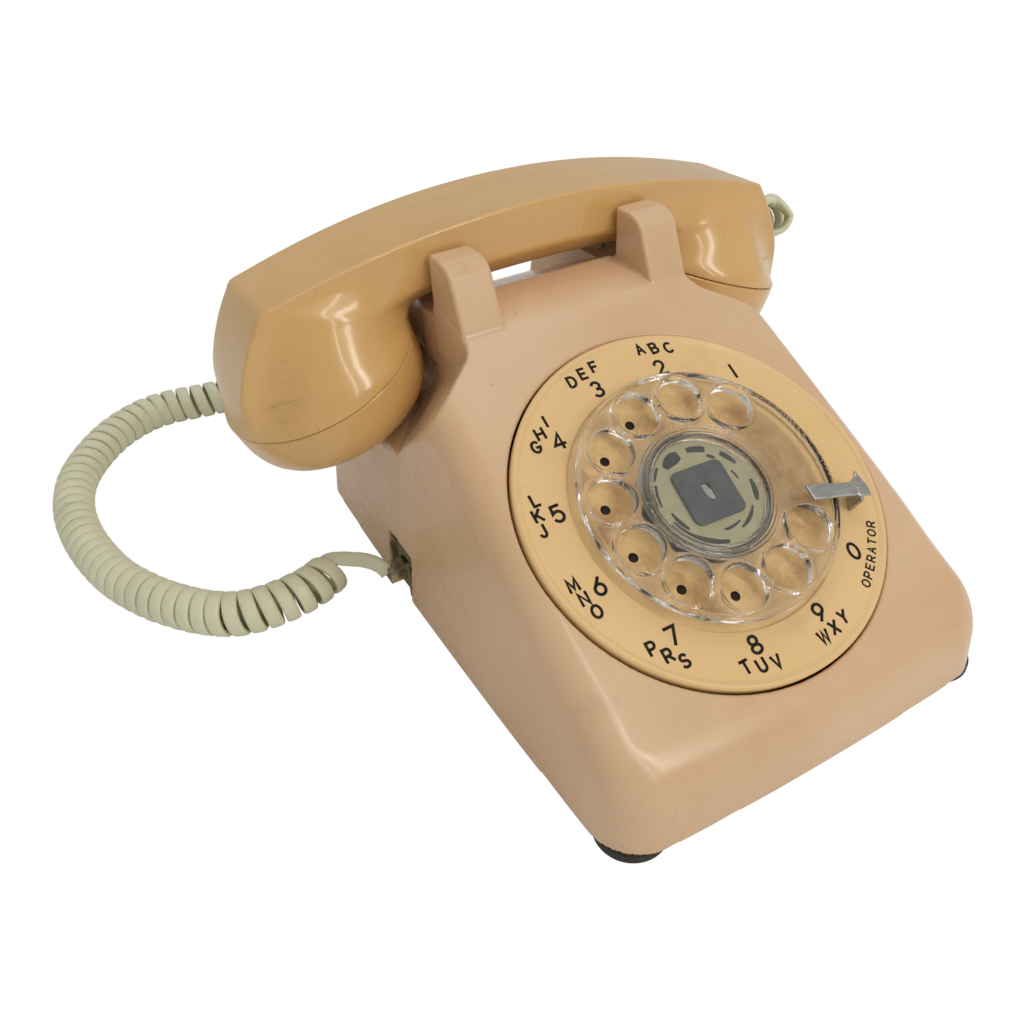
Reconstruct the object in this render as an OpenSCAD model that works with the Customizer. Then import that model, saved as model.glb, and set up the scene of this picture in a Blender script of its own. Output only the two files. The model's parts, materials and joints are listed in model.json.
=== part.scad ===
// Rotary desk telephone set with a lift-off handset, in millimetres.
// The origin is on the desk under the middle of the set. +X is to the right as the user sees it,
// +Y points away from the user and +Z is up.

/* [Housing] */
// Width of the housing at its lower edge
body_w = 136; // [134:0.5:138]
// Depth of the housing from front to back
body_d = 206; // [204:0.5:208]
// Thickness of the moulded wall
wall = 2.6; // [2.2:0.1:3.0]
// Narrowing of each side wall per millimetre of height
draft = 0.105; // [0.09:0.005:0.12]
// Height of the rubber feet
foot_h = 4; // [3.5:0.1:4.5]

/* [Dial] */
// Slope of the dial from the horizontal, in degrees
dial_tilt = 30; // [29:0.5:31]
// Radius of the number plate
plate_r = 55.5; // [55:0.1:56]
// Radius of the finger wheel
wheel_r = 38.4; // [38:0.1:39]
// Radius of the circle of finger holes
hole_circle_r = 29.5; // [29.3:0.1:29.7]
// Radius of each finger hole
finger_hole_r = 6.6; // [6:0.1:6.8]

/* [Handset] */
// Radius of the cups and caps where they meet
cup_r = 32.7; // [32.3:0.1:33]
// Width of the handle
handle_w = 35.6; // [35:0.1:36]
// Height of the top of the handle
handle_top = 119.5; // [119:0.1:120]
// Tilt of the cap faces towards each other, in degrees
cap_tilt = 20; // [19:0.5:21]

/* [Cord] */
// Outer diameter of the curly cord
coil_d = 15.2; // [14:0.1:16]
// Width of the flat lead of the cord
lead_d = 4.6; // [4.4:0.1:4.8]

/* [Hidden] */
$fn = 64;
e = 0.01;

// Dial: its centre lies on the rim of the number plate
dial_y = -46;
dial_z = 58.4;
face_w = -1.2;              // height of the housing's face in the dial's frame
first_hole = 45;            // angle of the hole for 1
hole_step = 30;
dish_r = 39.4;              // sunk floor of the number plate: radius, depth and radius of its hole
dish_depth = 1.9;
dish_hole_r = 20;
hub_bore_r = 3.05;
shaft_r = 3;

// Dial gears: equal tooth pitch, so the ratio is the ratio of the tooth counts
gear_module = 0.6;
gear_teeth = 60;
pinion_teeth = 12;
gear_r = gear_module * gear_teeth / 2;
pinion_r = gear_module * pinion_teeth / 2;
gear_gap = gear_r + pinion_r;
pinion_at = -55;            // direction of the pinion from the dial's middle

// Handset, lying along X with its middle over y = handset_y
handset_y = 55.5;
seam_x = 73.9;
seam_z = 77.3;
top_sag = 0.0017;           // the top edge falls by this times x squared
under_z = 97.5;
under_sag = 0.0011;
cap_depth = 22;
jack_x = 103.3;
jack_z = 89;
jack_tilt = 30;

// Horns and plungers
horn_in = 26.4;
horn_out = 40.4;
saddle_z = 93;
shoulder_at = [60.6, 2.7, 77.2];
shoulder_lean = 53.3;
shoulder_turn = 37.4;
shoulder_low = 57;
plunger_x = 30.5;
plunger_y = 55;
lever_y = 24;
lever_z = 77;

// Ringer
gong_x = 27;
gong_y = 62;
clapper_y = 76;

// Middle of the socket for the handset cord in the left side
socket_y = 22.6;
socket_z = 15;

// Screw posts: x, y
posts = [[-48, -72], [48, -72], [-54, 50], [54, 50]];
feet_at = [[-56, -90.8], [56, -90.8], [-54, 84], [54, 84]];
base_z = foot_h;
plate_t = 1.5;
floor_z = base_z + plate_t;

// Route of the cord's axis from the base, round behind the set and up to the handset's end
coil_route = [
    [-85.6, 44.2, 7.9], [-88.2, 42.1, 7.8], [-91.8, 40.2, 7.8], [-97, 38.4, 7.8], [-105, 37.4, 7.8],
    [-113.5, 37.7, 7.8],
    [-121.9, 40.3, 7.8], [-129.6, 46.4, 7.8], [-136.6, 54.5, 7.8], [-143.6, 65, 7.8], [-150.7, 80, 7.8],
    [-155.4, 97.6, 7.8], [-157.9, 116.7, 7.8], [-157.4, 136, 7.8], [-152.6, 155, 7.8], [-143, 171.6, 7.8],
    [-131.6, 184, 7.8], [-118.6, 191.4, 7.8], [-106.9, 192.8, 7.8], [-92, 190, 7.8], [-72, 187, 7.8],
    [-48, 182, 7.8], [-20, 174, 7.8], [12, 165, 7.8], [44, 154, 7.8], [70, 143, 8.2], [86, 134, 11],
    [97, 126, 18], [105, 116, 28], [110.5, 104, 41], [116, 90, 58], [119, 76, 72], [119, 64, 80],
    [117, 56, 84.5]
];
lead_route = [[-73, 22.6, 15], [-75.2, 26, 16.2], [-78, 31, 16.7], [-81.6, 38.2, 15]];
end_route = [[107, 55.5, 91.1], [109, 55.5, 91.6], [111, 55.4, 91.4]];

// ---- helpers ----

module at_dial() { translate([0, dial_y, dial_z]) rotate([dial_tilt, 0, 0]) children(); }
module ring(r_out, r_in, h) {
    difference() { cylinder(r = r_out, h = h); translate([0, 0, -e]) cylinder(r = r_in, h = h + 2 * e); }
}
// Side profile in Y and Z, drawn out along X from x0 to x1
module along_x(x0, x1) {
    translate([x0, 0, 0]) rotate([90, 0, 90]) linear_extrude(x1 - x0) children();
}
// Outline in X and Z, drawn out along Y from y0 to y1
module along_y(y0, y1) {
    translate([0, y1, 0]) rotate([90, 0, 0]) linear_extrude(y1 - y0) children();
}
// Frame of a cap: origin at the middle of its seam, +Z out of the cup; side is -1 or 1
module at_cap(side) {
    translate([side * seam_x, handset_y, seam_z]) rotate([180, 0, 0]) rotate([0, -side * cap_tilt, 0])
        children();
}

// Smooth curve through route points, steps rings to each stretch (Catmull-Rom)
function blend_pt(a, b, c, d, t) =
    0.5 * (2 * b + (c - a) * t + (2 * a - 5 * b + 4 * c - d) * t * t + (3 * b - a - 3 * c + d) * t * t * t);
function smooth(p, steps) = let (n = len(p)) concat(
    [for (i = [0:n - 2], k = [0:steps - 1])
        blend_pt(p[max(i - 1, 0)], p[i], p[i + 1], p[min(i + 2, n - 1)], k / steps)],
    [p[n - 1]]);
function unit(v) = v / norm(v);
// Tube of radius r through the points, as one closed skin
module tube(points, r, sides = 10, up = [0, 0, 1]) {
    n = len(points);
    rings = [for (i = [0:n - 1]) let (
            t = unit(points[min(i + 1, n - 1)] - points[max(i - 1, 0)]),
            u = unit(cross(up, t)), v = cross(t, u))
        for (k = [0:sides - 1]) points[i] + r * cos(360 * k / sides) * u + r * sin(360 * k / sides) * v];
    faces = concat(
        [[for (k = [sides - 1:-1:0]) k]],
        [for (i = [0:n - 2], k = [0:sides - 1]) let (a = i * sides + k, b = i * sides + (k + 1) % sides)
            each [[a, b, b + sides], [a, b + sides, a + sides]]],
        [[for (k = [0:sides - 1]) (n - 1) * sides + k]]);
    polyhedron(rings, [for (f = faces) [for (j = [len(f) - 1:-1:0]) f[j]]], convexity = 8);
}
// Gear with straight-sided teeth
module gear(teeth, h, bore) {
    r = gear_module * teeth / 2;
    half = 360 / teeth / 4 * 0.72;
    difference() {
        linear_extrude(h) polygon([for (i = [0:teeth - 1]) let (a = 360 * i / teeth) each [
            (r - 0.72) * [cos(a - half * 1.7), sin(a - half * 1.7)],
            (r + 0.42) * [cos(a - half * 0.55), sin(a - half * 0.55)],
            (r + 0.42) * [cos(a + half * 0.55), sin(a + half * 0.55)],
            (r - 0.72) * [cos(a + half * 1.7), sin(a + half * 1.7)]]]);
        translate([0, 0, -e]) cylinder(r = bore, h = h + 2 * e);
    }
}

// ---- housing ----

function face_z(y) = dial_z + face_w / cos(dial_tilt) + (y - dial_y) * tan(dial_tilt);
// Side profile of the housing, moved inwards by g
module side_profile(g) {
    f = body_d / 2;
    polygon([[-f + g, base_z - 1 + g / wall * -1], [-f + g, 16], [-f + 1.4 + g, 21.5 - g * 0.7],
        [-f + 5.5 + g * 0.6, face_z(-f + 5.5) - g * 1.1], [6, face_z(6) - g * 1.15],
        [15, 89.2 - g], [30, 94.6 - g], [36, 94.6 - g], [56, 88 - g * 1.1], [74, 79 - g * 1.1],
        [92, 73 - g * 1.1], [98 - g * 0.5, 68 - g], [f - 1 - g, 60 - g], [f - g, base_z - 1 - g / wall]]);
}
module front_profile(g) {
    polygon([[-body_w / 2 + g, base_z - 1], [body_w / 2 - g, base_z - 1],
        [body_w / 2 - g - draft * 100, base_z + 100], [-body_w / 2 + g + draft * 100, base_z + 100]]);
}
// Plan with rounded corners, as a cross of two boxes and four discs
module plan(g) {
    r = 15 - g;
    x = body_w / 2 - g - r;
    y = body_d / 2 - g - r;
    square([2 * x, 2 * (y + r)], center = true);
    square([2 * (x + r), 2 * y], center = true);
    for (i = [-1, 1], j = [-1, 1]) translate([i * x, j * y]) circle(r = r);
}
// Room for a cap in the side of the housing, a bowl that follows the cap at a distance
module cap_room(side, g) {
    at_cap(side) translate([0, 0, -45]) rotate_extrude() polygon([[0, 0], [36.5 - g, 0], [36.5 - g, 45],
        [36.3 - g, 54], [35 - g, 59], [32.5 - g, 63], [28.5 - g, 66.8], [22 - g, 69.6 - g], [14 - g, 70.6 - g],
        [0, 71 - g]]);
}
// Sloping shoulder outside the horns: it falls outwards and backwards from the face, by a plane
// through shoulder_at whose normal leans by shoulder_lean towards the direction shoulder_turn.
// It runs into the bowl under the cap, and ends at the height shoulder_low
module shoulder(side, g) intersection() {
    translate([side * shoulder_at[0], shoulder_at[1], shoulder_at[2]])
        rotate([0, shoulder_lean, side > 0 ? shoulder_turn : 180 - shoulder_turn])
            translate([-90, -90, -g]) cube([180, 180, 90]);
    translate([side > 0 ? horn_out - g : -horn_out + g - 90, -100, shoulder_low - g]) cube([90, 155 + g, 200]);
}
module horn_front() {
    polygon([[15, 84], [15.4, 90], [22.9, 108.6], [25, 110.8], [29, 112], [36.4, 112], [36.4, 84]]);
}
module horn_back() {
    polygon([[74.6, 74], [74.6, 104.5], [76, 106], [82, 105], [85, 101], [94, 70]]);
}
module body_block(g) {
    intersection() {
        along_x(-body_w, body_w) side_profile(g);
        along_y(-body_d, body_d) front_profile(g);
        linear_extrude(200) plan(g);
    }
}
module housing() color([0.83, 0.68, 0.54]) difference() {
    union() {
        difference() {
            body_block(0);
            for (s = [-1, 1]) {
                cap_room(s, 0);
                shoulder(s, 0);
            }
            difference() {
                body_block(wall);
                for (s = [-1, 1]) {
                    cap_room(s, -wall);
                    shoulder(s, wall * 1.1);
                }
            }
        }
        for (s = [-1, 1]) {
            x0 = s > 0 ? horn_in : -horn_out;
            along_x(x0, x0 + horn_out - horn_in) horn_front();
            along_x(x0, x0 + horn_out - horn_in) horn_back();
            // Saddle under the handle, which guides the plunger
            along_x(s > 0 ? 25 : -horn_out, s > 0 ? horn_out : -25)
                polygon([[30, 90], [30, saddle_z], [76, saddle_z], [76, 76], [56, 85.5], [36, 92]]);
        }
        for (p = posts) translate([p[0], p[1], floor_z]) {
            cylinder(r = 4, h = 26);
            translate([p[0] > 0 ? 0 : abs(p[0]) - 64, -1, 0]) cube([64 - abs(p[0]), 2, 24]);
        }
    }
    at_dial() translate([0, 0, -20]) cylinder(r = plate_r + 0.6, h = 40);
    // Upright way past the saddle for a cap that is lifted
    for (s = [-1, 1]) translate([s * 72, handset_y, 78.2]) cylinder(r = 33.3, h = 40);
    // Seat between the horns of each side
    for (s = [-1, 1]) translate([s > 0 ? 25 : -41.2, 36.4, saddle_z]) cube([16.2, 38.2, 40]);
    // Slot for the handset cord's jack, open at the lower edge
    translate([-body_w / 2 - 4, 17, 0]) cube([12, 18, 22]);
    // Slot for the line jack in the back
    translate([-38, body_d / 2 - 6, 0]) cube([18, 12, 20]);
    for (s = [-1, 1]) translate([s * plunger_x, plunger_y, 70]) {
        cylinder(r = 3.6, h = 40);
        cylinder(r = 4.5, h = 18);
    }
    for (p = posts) translate([p[0], p[1], 0]) cylinder(r = 1.6, h = 20);
    // Trim everything below the lower edge
    translate([0, 0, base_z - 50]) cube([400, 400, 100], center = true);
}

// ---- base ----

module base_plate() color([0.62, 0.62, 0.6]) difference() {
    translate([0, 0, base_z]) linear_extrude(plate_t) intersection() {
        plan(wall + 0.6);
        square([2 * (body_w / 2 - wall - 0.9), 400], center = true);
    }
    for (p = feet_at) translate([p[0], p[1], 0]) cylinder(r = 3, h = 20);
    for (p = posts) translate([p[0], p[1], 0]) cylinder(r = 1.8, h = 20);
    translate([30, 6, 0]) cylinder(r = 1.85, h = 20);
    translate([-body_w / 2 - 4, 17, 0]) cube([10, 18, 22]);
    translate([-38, body_d / 2 - 10, 0]) cube([18, 20, 20]);
}
module feet() color([0.12, 0.12, 0.11]) for (p = feet_at) translate([p[0], p[1], 0]) {
    rotate_extrude() polygon([[0, 0], [8.6, 0], [9.6, 0.5], [10.15, 1.5], [10.15, foot_h], [0, foot_h]]);
    cylinder(r = 2.98, h = floor_z + 1.5);
}
module housing_screws() color([0.7, 0.7, 0.7]) for (p = posts) translate([p[0], p[1], 0]) difference() {
    union() {
        translate([0, 0, 2.4]) cylinder(r = 3.5, h = base_z - 2.4);
        cylinder(r = 1.55, h = 17);
        translate([0, 0, 2.4]) cylinder(r = 1.55, h = 1);
    }
    translate([0, 0, -e]) cylinder(r = 5, h = 2.4 + e);
    translate([-3, -0.4, 2.3]) cube([6, 0.8, 0.9]);
}
module handset_cord_jack() color([0.3, 0.27, 0.2]) difference() {
    translate([-body_w / 2 + 2.2, 17.4, floor_z]) cube([15, 17.2, 16]);
    translate([-body_w / 2, socket_y - 3.9, socket_z - 3.1]) cube([13.2, 7.8, 6.2]);
}
module line_jack() color([0.3, 0.27, 0.2]) difference() {
    translate([-37.6, body_d / 2 - 17.2, floor_z]) cube([17.2, 15, 13.5]);
    translate([-33.9, body_d / 2 - 13.2, 9.4]) cube([9.8, 13, 6.2]);
}

// ---- dial ----

module number_plate() color([0.86, 0.7, 0.48]) at_dial() difference() {
    // A ring for the characters with a raised rim, and a sunk floor under the finger wheel
    rotate_extrude() polygon([[dish_hole_r, -dish_depth - 1.4], [dish_r - 0.6, -dish_depth - 1.4],
        [dish_r + 0.4, -1.9], [plate_r, -1.9], [plate_r, 0], [plate_r - 2.4, 0], [plate_r - 2.4, -0.5],
        [dish_r + 1.2, -0.5], [dish_r, -dish_depth], [dish_hole_r, -dish_depth]]);
    rotate([0, 0, -25]) translate([43.6, -2.6, -5]) cube([2.6, 5.2, 10]);
}
module dial_frame() color([0.6, 0.6, 0.58]) at_dial() difference() {
    union() {
        translate([0, 0, -9.5]) linear_extrude(1.5) {
            circle(r = 41.5);
            square([88, 24], center = true);
            rotate(-25) translate([38, -4]) square([9.9, 8]);
        }
        translate([0, 0, -14]) cylinder(r = 6, h = 9);
        for (a = [80:120:320]) rotate([0, 0, a]) translate([37, 0, -9]) cylinder(r = 3, h = 9 - dish_depth - 1.4);
        for (a = [15, 135, 255]) rotate([0, 0, a]) translate([31, 0, -25]) cylinder(r = 2.4, h = 16);
    }
    translate([0, 0, -30]) cylinder(r = hub_bore_r, h = 40);
    rotate([0, 0, pinion_at]) translate([gear_gap, 0, -30]) cylinder(r = 1.25, h = 40);
}
module dial_back_plate() color([0.6, 0.6, 0.58]) at_dial() difference() {
    translate([0, 0, -26.5]) cylinder(r = 34, h = 1.5);
    translate([0, 0, -30]) cylinder(r = hub_bore_r, h = 10);
    rotate([0, 0, pinion_at]) translate([gear_gap, 0, -30]) cylinder(r = 1.25, h = 10);
}
module dial_bracket() color([0.6, 0.6, 0.58]) for (s = [-1, 1]) {
    x0 = s > 0 ? 42.4 : -43.9;
    // The upper edge runs along the underside of the dial frame
    under = [dial_y + 9.5 * sin(dial_tilt), dial_z - 9.5 * cos(dial_tilt)];
    along_x(x0, x0 + 1.5) polygon([[-58, floor_z], [-18, floor_z],
        under + 11 * [cos(dial_tilt), sin(dial_tilt)], under - 11 * [cos(dial_tilt), sin(dial_tilt)]]);
    translate([s > 0 ? 36 : -43.9, -58, floor_z]) cube([7.9, 40, 1.5]);
}
module finger_stop() color([0.72, 0.72, 0.7]) at_dial() rotate([0, 0, -25]) {
    // Upright post from the dial frame, then a blade that hooks in over the wheel
    rotate([90, 0, 0]) translate([0, 0, -2.2]) linear_extrude(4.4) polygon([[44, -8], [45.6, -8],
        [45.6, 5.2], [45, 7.4], [41, 7.4], [35, 7.2], [28, 6.8], [28, 6.2], [35, 6.1], [41, 6], [44, 5.4]]);
}
module return_spring() color([0.45, 0.45, 0.47]) at_dial() translate([0, 0, -17.4]) linear_extrude(2)
    polygon(concat(
        [for (a = [0:15:1440]) (7.2 + a / 1440 * 7) * [cos(a), sin(a)]],
        [for (a = [1440:-15:0]) (6.8 + a / 1440 * 7) * [cos(a), sin(a)]]));
module brake_drum() color([0.75, 0.6, 0.3]) at_dial() rotate([0, 0, pinion_at]) translate([gear_gap, 0, -25])
    ring(8.6, 7.6, 4.2);
module pulse_contacts() color([0.7, 0.6, 0.35]) at_dial() rotate([0, 0, pinion_at]) translate([gear_gap, 0, -15]) {
    for (i = [0:2]) translate([-8, 5 + i * 1.5, 0]) cube([21, 0.4, 3]);
    translate([10, 4.4, -0.6]) cube([4, 4.6, 6.1]);
}
module dial_shaft() color([0.7, 0.7, 0.68]) at_dial() {
    translate([0, 0, -25.5]) cylinder(r = shaft_r, h = 26);
    translate([0, 0, -0.2]) cylinder(r = 12, h = 0.7);
}
module drive_gear() color([0.78, 0.63, 0.3]) at_dial() translate([0, 0, -20]) gear(gear_teeth, 1.6, shaft_r);
module finger_wheel() color([0.85, 0.83, 0.78, 0.5]) at_dial() difference() {
    union() {
        translate([0, 0, 2]) cylinder(r = wheel_r, h = 2.2);
        translate([0, 0, 2]) ring(wheel_r, wheel_r - 1.6, 2.7);
        translate([0, 0, -0.3]) ring(19, 17.2, 3);
        translate([0, 0, 4.1]) ring(21.4, 17.2, 0.7);
        for (k = [0:9]) rotate([0, 0, first_hole + hole_step * k]) translate([hole_circle_r, 0, 2])
            cylinder(r = finger_hole_r + 0.9, h = 2.8);
    }
    for (k = [0:9]) rotate([0, 0, first_hole + hole_step * k]) translate([hole_circle_r, 0, -1])
        cylinder(r = finger_hole_r, h = 10);
}
module number_card() color([0.86, 0.84, 0.7]) at_dial() translate([0, 0, 0.5]) cylinder(r = 16.8, h = 0.4);
module hub_plate() color([0.42, 0.44, 0.46]) at_dial() rotate([0, 0, 30]) translate([0, 0, 0.9])
    difference() {
        intersection() {
            translate([-8.5, -8.5, 0]) cube([17, 17, 1.1]);
            cylinder(r = 11, h = 2);
        }
        translate([-1.2, -2.6, -1]) cube([2.4, 5.2, 5]);
    }
module pinion_spindle() color([0.75, 0.75, 0.73]) at_dial() rotate([0, 0, pinion_at])
    translate([gear_gap, 0, -20.2]) {
        // Turned so that a gap of the pinion lies on a tooth of the gear
        rotate([0, 0, 180 + pinion_at * gear_teeth / pinion_teeth + 180 / pinion_teeth])
            gear(pinion_teeth, 2, 1.1);
        translate([0, 0, -6.1]) cylinder(r = 1.2, h = 17.5);
    }
module governor_rotor() color([0.75, 0.6, 0.3]) at_dial() rotate([0, 0, pinion_at])
    translate([gear_gap, 0, -24.2]) difference() {
        union() {
            cylinder(r = 3, h = 3);
            translate([-7, -1, 0.6]) cube([14, 2, 1.6]);
            for (s = [-1, 1]) translate([s * 5.4, 0, 0.4]) cylinder(r = 1.7, h = 2.2);
        }
        translate([0, 0, -1]) cylinder(r = 1.2, h = 5);
    }
module pulse_cam() color([0.25, 0.2, 0.16]) at_dial() rotate([0, 0, pinion_at]) translate([gear_gap, 0, -15])
    difference() {
        union() {
            cylinder(r = 3, h = 2.5);
            translate([-4.4, -1, 0]) cube([8.8, 2, 2.5]);
        }
        translate([0, 0, -1]) cylinder(r = 1.2, h = 5);
    }

// ---- hook switch ----

module switch_bracket() color([0.62, 0.62, 0.6]) difference() {
    union() {
        translate([-26, 33.4, floor_z]) cube([52, 1.5, 68]);
        translate([-26, 33.4, floor_z]) cube([52, 8, 1.5]);
        for (s = [-1, 1]) translate([s * 24.6 - 0.8, lever_y - 4, lever_z - 8]) cube([1.6, 14.5, 12]);
    }
    translate([-50, lever_y, lever_z]) rotate([0, 90, 0]) cylinder(r = 1.5, h = 100);
}
module hinge_pin() color([0.75, 0.75, 0.75]) translate([-26.5, lever_y, lever_z]) rotate([0, 90, 0])
    cylinder(r = 1.5, h = 53);
module switch_lever() color([0.55, 0.55, 0.55]) difference() {
    union() {
        for (s = [-1, 1]) {
            translate([s * 18 - 4, lever_y, lever_z]) rotate([0, 90, 0]) cylinder(r = 3, h = 8);
            translate([s * 18 - 3, lever_y, lever_z + 1.2]) cube([6, 32, 1.7]);
        }
        translate([-33.5, 52, 78.2]) cube([67, 4, 2]);
    }
    translate([-50, lever_y, lever_z]) rotate([0, 90, 0]) cylinder(r = 1.56, h = 100);
}
module lever_spring() color([0.5, 0.5, 0.52])
    tube([for (a = [0:30:2160]) [-7 + a / 2160 * 14, lever_y + 2.4 * cos(a), lever_z + 2.4 * sin(a)]],
        0.35, 6, [1, 0, 0]);
module switch_contacts() color([0.7, 0.6, 0.35]) {
    for (i = [0:4]) translate([-9 + i * 4.2, 34.9, 55]) cube([0.5, 16, 8]);
    translate([-11, 34.9, 56]) cube([20.5, 4, 6]);
}
module plunger(side) color([0.85, 0.82, 0.74]) translate([side * plunger_x, plunger_y, 0]) {
    translate([0, 0, 80.5]) cylinder(r = 3.5, h = 15.2);
    translate([0, 0, 80.5]) cylinder(r = 4.2, h = 1.5);
}
module plunger_left() plunger(-1);
module plunger_right() plunger(1);

// ---- network and ringer ----

module network_block() color([0.3, 0.28, 0.25]) translate([-34, -10, floor_z]) cube([56, 40, 22]);
module network_terminals() color([0.78, 0.7, 0.45])
    for (i = [0:6], j = [0:1]) translate([-27 + i * 7, -2 + j * 24, floor_z + 22]) difference() {
        cylinder(r = 2.2, h = 2.4);
        translate([-2, -0.3, 1.6]) cube([4, 0.6, 2]);
    }
module ringer_bracket() color([0.62, 0.62, 0.6]) {
    translate([-34, 52, floor_z]) cube([68, 32, 1.5]);
    translate([-16, 80, floor_z]) cube([32, 17, 1.5]);
    for (s = [-1, 1]) {
        translate([s * gong_x, gong_y, floor_z]) cylinder(r = 2.2, h = 21.5);
        translate([s * 12.7 - 0.7, 84, floor_z]) cube([1.4, 12, 29]);
    }
    translate([0, clapper_y, floor_z]) cylinder(r = 1, h = 8);
}
module ringer_coil() color([0.55, 0.25, 0.12]) translate([-12, 89, 24]) rotate([0, 90, 0]) {
    cylinder(r = 8.2, h = 24);
    for (h = [0, 22.6]) translate([0, 0, h]) cylinder(r = 9.2, h = 1.4);
}
module gong(side) color([0.78, 0.72, 0.55]) translate([side * gong_x, gong_y, 0])
    rotate_extrude() polygon([[1.7, 27], [6, 27], [14, 25.5], [19, 22], [21, 17], [21.6, 12.5], [22.2, 12.5],
        [22.2, 17.4], [20, 23], [14.6, 26.8], [6.2, 28.3], [1.7, 28.3]]);
module gong_left() gong(-1);
module gong_right() gong(1);
module gong_screws() color([0.75, 0.75, 0.75]) for (s = [-1, 1]) translate([s * gong_x, gong_y, 0])
    difference() {
        union() {
            translate([0, 0, 27]) cylinder(r = 1.6, h = 2);
            translate([0, 0, 28.3]) cylinder(r = 3.2, h = 1.8);
        }
        translate([-4, -0.4, 29.4]) cube([8, 0.8, 2]);
    }
module clapper() color([0.7, 0.68, 0.6]) {
    translate([0, clapper_y, 9]) ring(2.4, 1.05, 4);
    translate([-0.8, 56, 10]) cube([1.6, 18.6, 1.6]);
    translate([0, 56, 10.8]) sphere(r = 2.6);
}
module loudness_wheel() color([0.2, 0.2, 0.2]) translate([30, 6, 0]) {
    difference() {
        translate([0, 0, 1.4]) cylinder(r = 11, h = 2.2);
        for (a = [0:15:345]) rotate([0, 0, a]) translate([11.2, 0, 0]) cylinder(r = 0.9, h = 6, $fn = 24);
    }
    translate([0, 0, 3.4]) cylinder(r = 1.8, h = 10);
}

// ---- handset ----

function top_z(x) = handle_top - top_sag * x * x;
function under(x) = under_z - under_sag * x * x;
// Right half of the handset's outline in X and Z: top arc, end, seam line, underside
function half_outline() = concat(
    [for (x = [0:7:91]) [x, top_z(x)]],
    [[95, 101.5], [99, 96.2], [102.5, 90.6], [105.3, 84.5], [107.2, 78], [107.4, 72]],
    [[seam_x + cup_r * cos(cap_tilt), seam_z - cup_r * sin(cap_tilt)],
     [seam_x - cup_r * cos(cap_tilt), seam_z + cup_r * sin(cap_tilt)]],
    [[42, 92.5], [39, 95]],
    [for (x = [35:-7:0]) [x, under(x)]]);
module outline() {
    right = half_outline();
    polygon(concat(right, [for (i = [len(right) - 2:-1:1]) [-right[i][0], right[i][1]]]));
}
module handset_handle() color([0.8, 0.64, 0.45]) difference() {
    intersection() {
        along_y(0, 110) outline();
        union() {
            translate([-100, handset_y - handle_w / 2, 92]) cube([200, handle_w, 40]);
            for (s = [-1, 1]) at_cap(s) translate([0, 0, -60]) cylinder(r = cup_r, h = 60);
        }
        // The sides draw in from the cups up to the width of the handle
        translate([0, handset_y, 0]) along_x(-120, 120) polygon([[-40, 50], [40, 50], [34, 84],
            [handle_w / 2, 107], [handle_w / 2, 130], [-handle_w / 2, 130], [-handle_w / 2, 107], [-34, 84]]);
    }
    for (s = [-1, 1]) at_cap(s) {
        translate([0, 0, -9]) cylinder(r = 29.5, h = 20);
        if (s < 0) translate([0, 0, -19]) cylinder(r = 21.5, h = 15);
        if (s > 0) translate([0, 0, -15]) cylinder(r = 8, h = 15);
    }
    // Channel for the wires along the handle
    translate([-66, handset_y, 105]) rotate([0, 90, 0]) cylinder(r = 4.5, h = 132);
    at_handset_jack() translate([-9, -5.2, -4.2]) cube([30, 10.4, 8.4]);
}
// +X of this frame points out of the handset's end
module at_handset_jack() { translate([jack_x, handset_y, jack_z]) rotate([0, -jack_tilt, 0]) children(); }
module cap(side, holes) at_cap(side) difference() {
    union() {
        rotate_extrude() polygon([[0, 18.8], [13, 18.5], [19, 17.6], [23, 16], [26.2, 13.4], [28.2, 10],
            [29.2, 6], [29.2, 0], [cup_r, 0], [32.6, 7], [32, 11], [30.8, 14.4], [28.8, 17.2], [26, 19.3],
            [22, 20.8], [15, 21.7], [0, cap_depth]]);
        translate([0, 0, -5]) ring(29.3, 27.8, 7);
    }
    for (h = holes) translate([h[0], h[1], 5]) cylinder(r = 1.3, h = 30, $fn = 24);
}
module receiver_cap() color([0.8, 0.64, 0.45])
    cap(-1, concat([[0, 0]], [for (a = [0:60:300]) 7 * [cos(a), sin(a)]]));
module transmitter_cap() color([0.8, 0.64, 0.45])
    cap(1, concat([for (a = [0:60:300]) 5 * [cos(a), sin(a)]], [for (a = [0:30:330]) 10.5 * [cos(a), sin(a)]]));
module receiver_capsule() color([0.55, 0.55, 0.55]) at_cap(-1) {
    translate([0, 0, -8.6]) cylinder(r = 27, h = 8);
    translate([0, 0, -18]) cylinder(r = 20.5, h = 10);
}
module transmitter_capsule() color([0.6, 0.55, 0.4]) at_cap(1) translate([0, 0, -4.6]) cylinder(r = 26.4, h = 5);
module transmitter_cup() color([0.2, 0.2, 0.2]) at_cap(1) {
    translate([0, 0, -8.7]) cylinder(r = 27, h = 3.9);
    translate([0, 0, -14]) cylinder(r = 7, h = 6);
}
module handset_jack() color([0.3, 0.27, 0.2]) at_handset_jack() difference() {
    translate([-8.9, -5.1, -4.1]) cube([8.2, 10.2, 8.2]);
    translate([-7.5, -3.4, -2.3]) cube([12, 6.8, 4.6]);
}

// ---- cord ----

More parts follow.
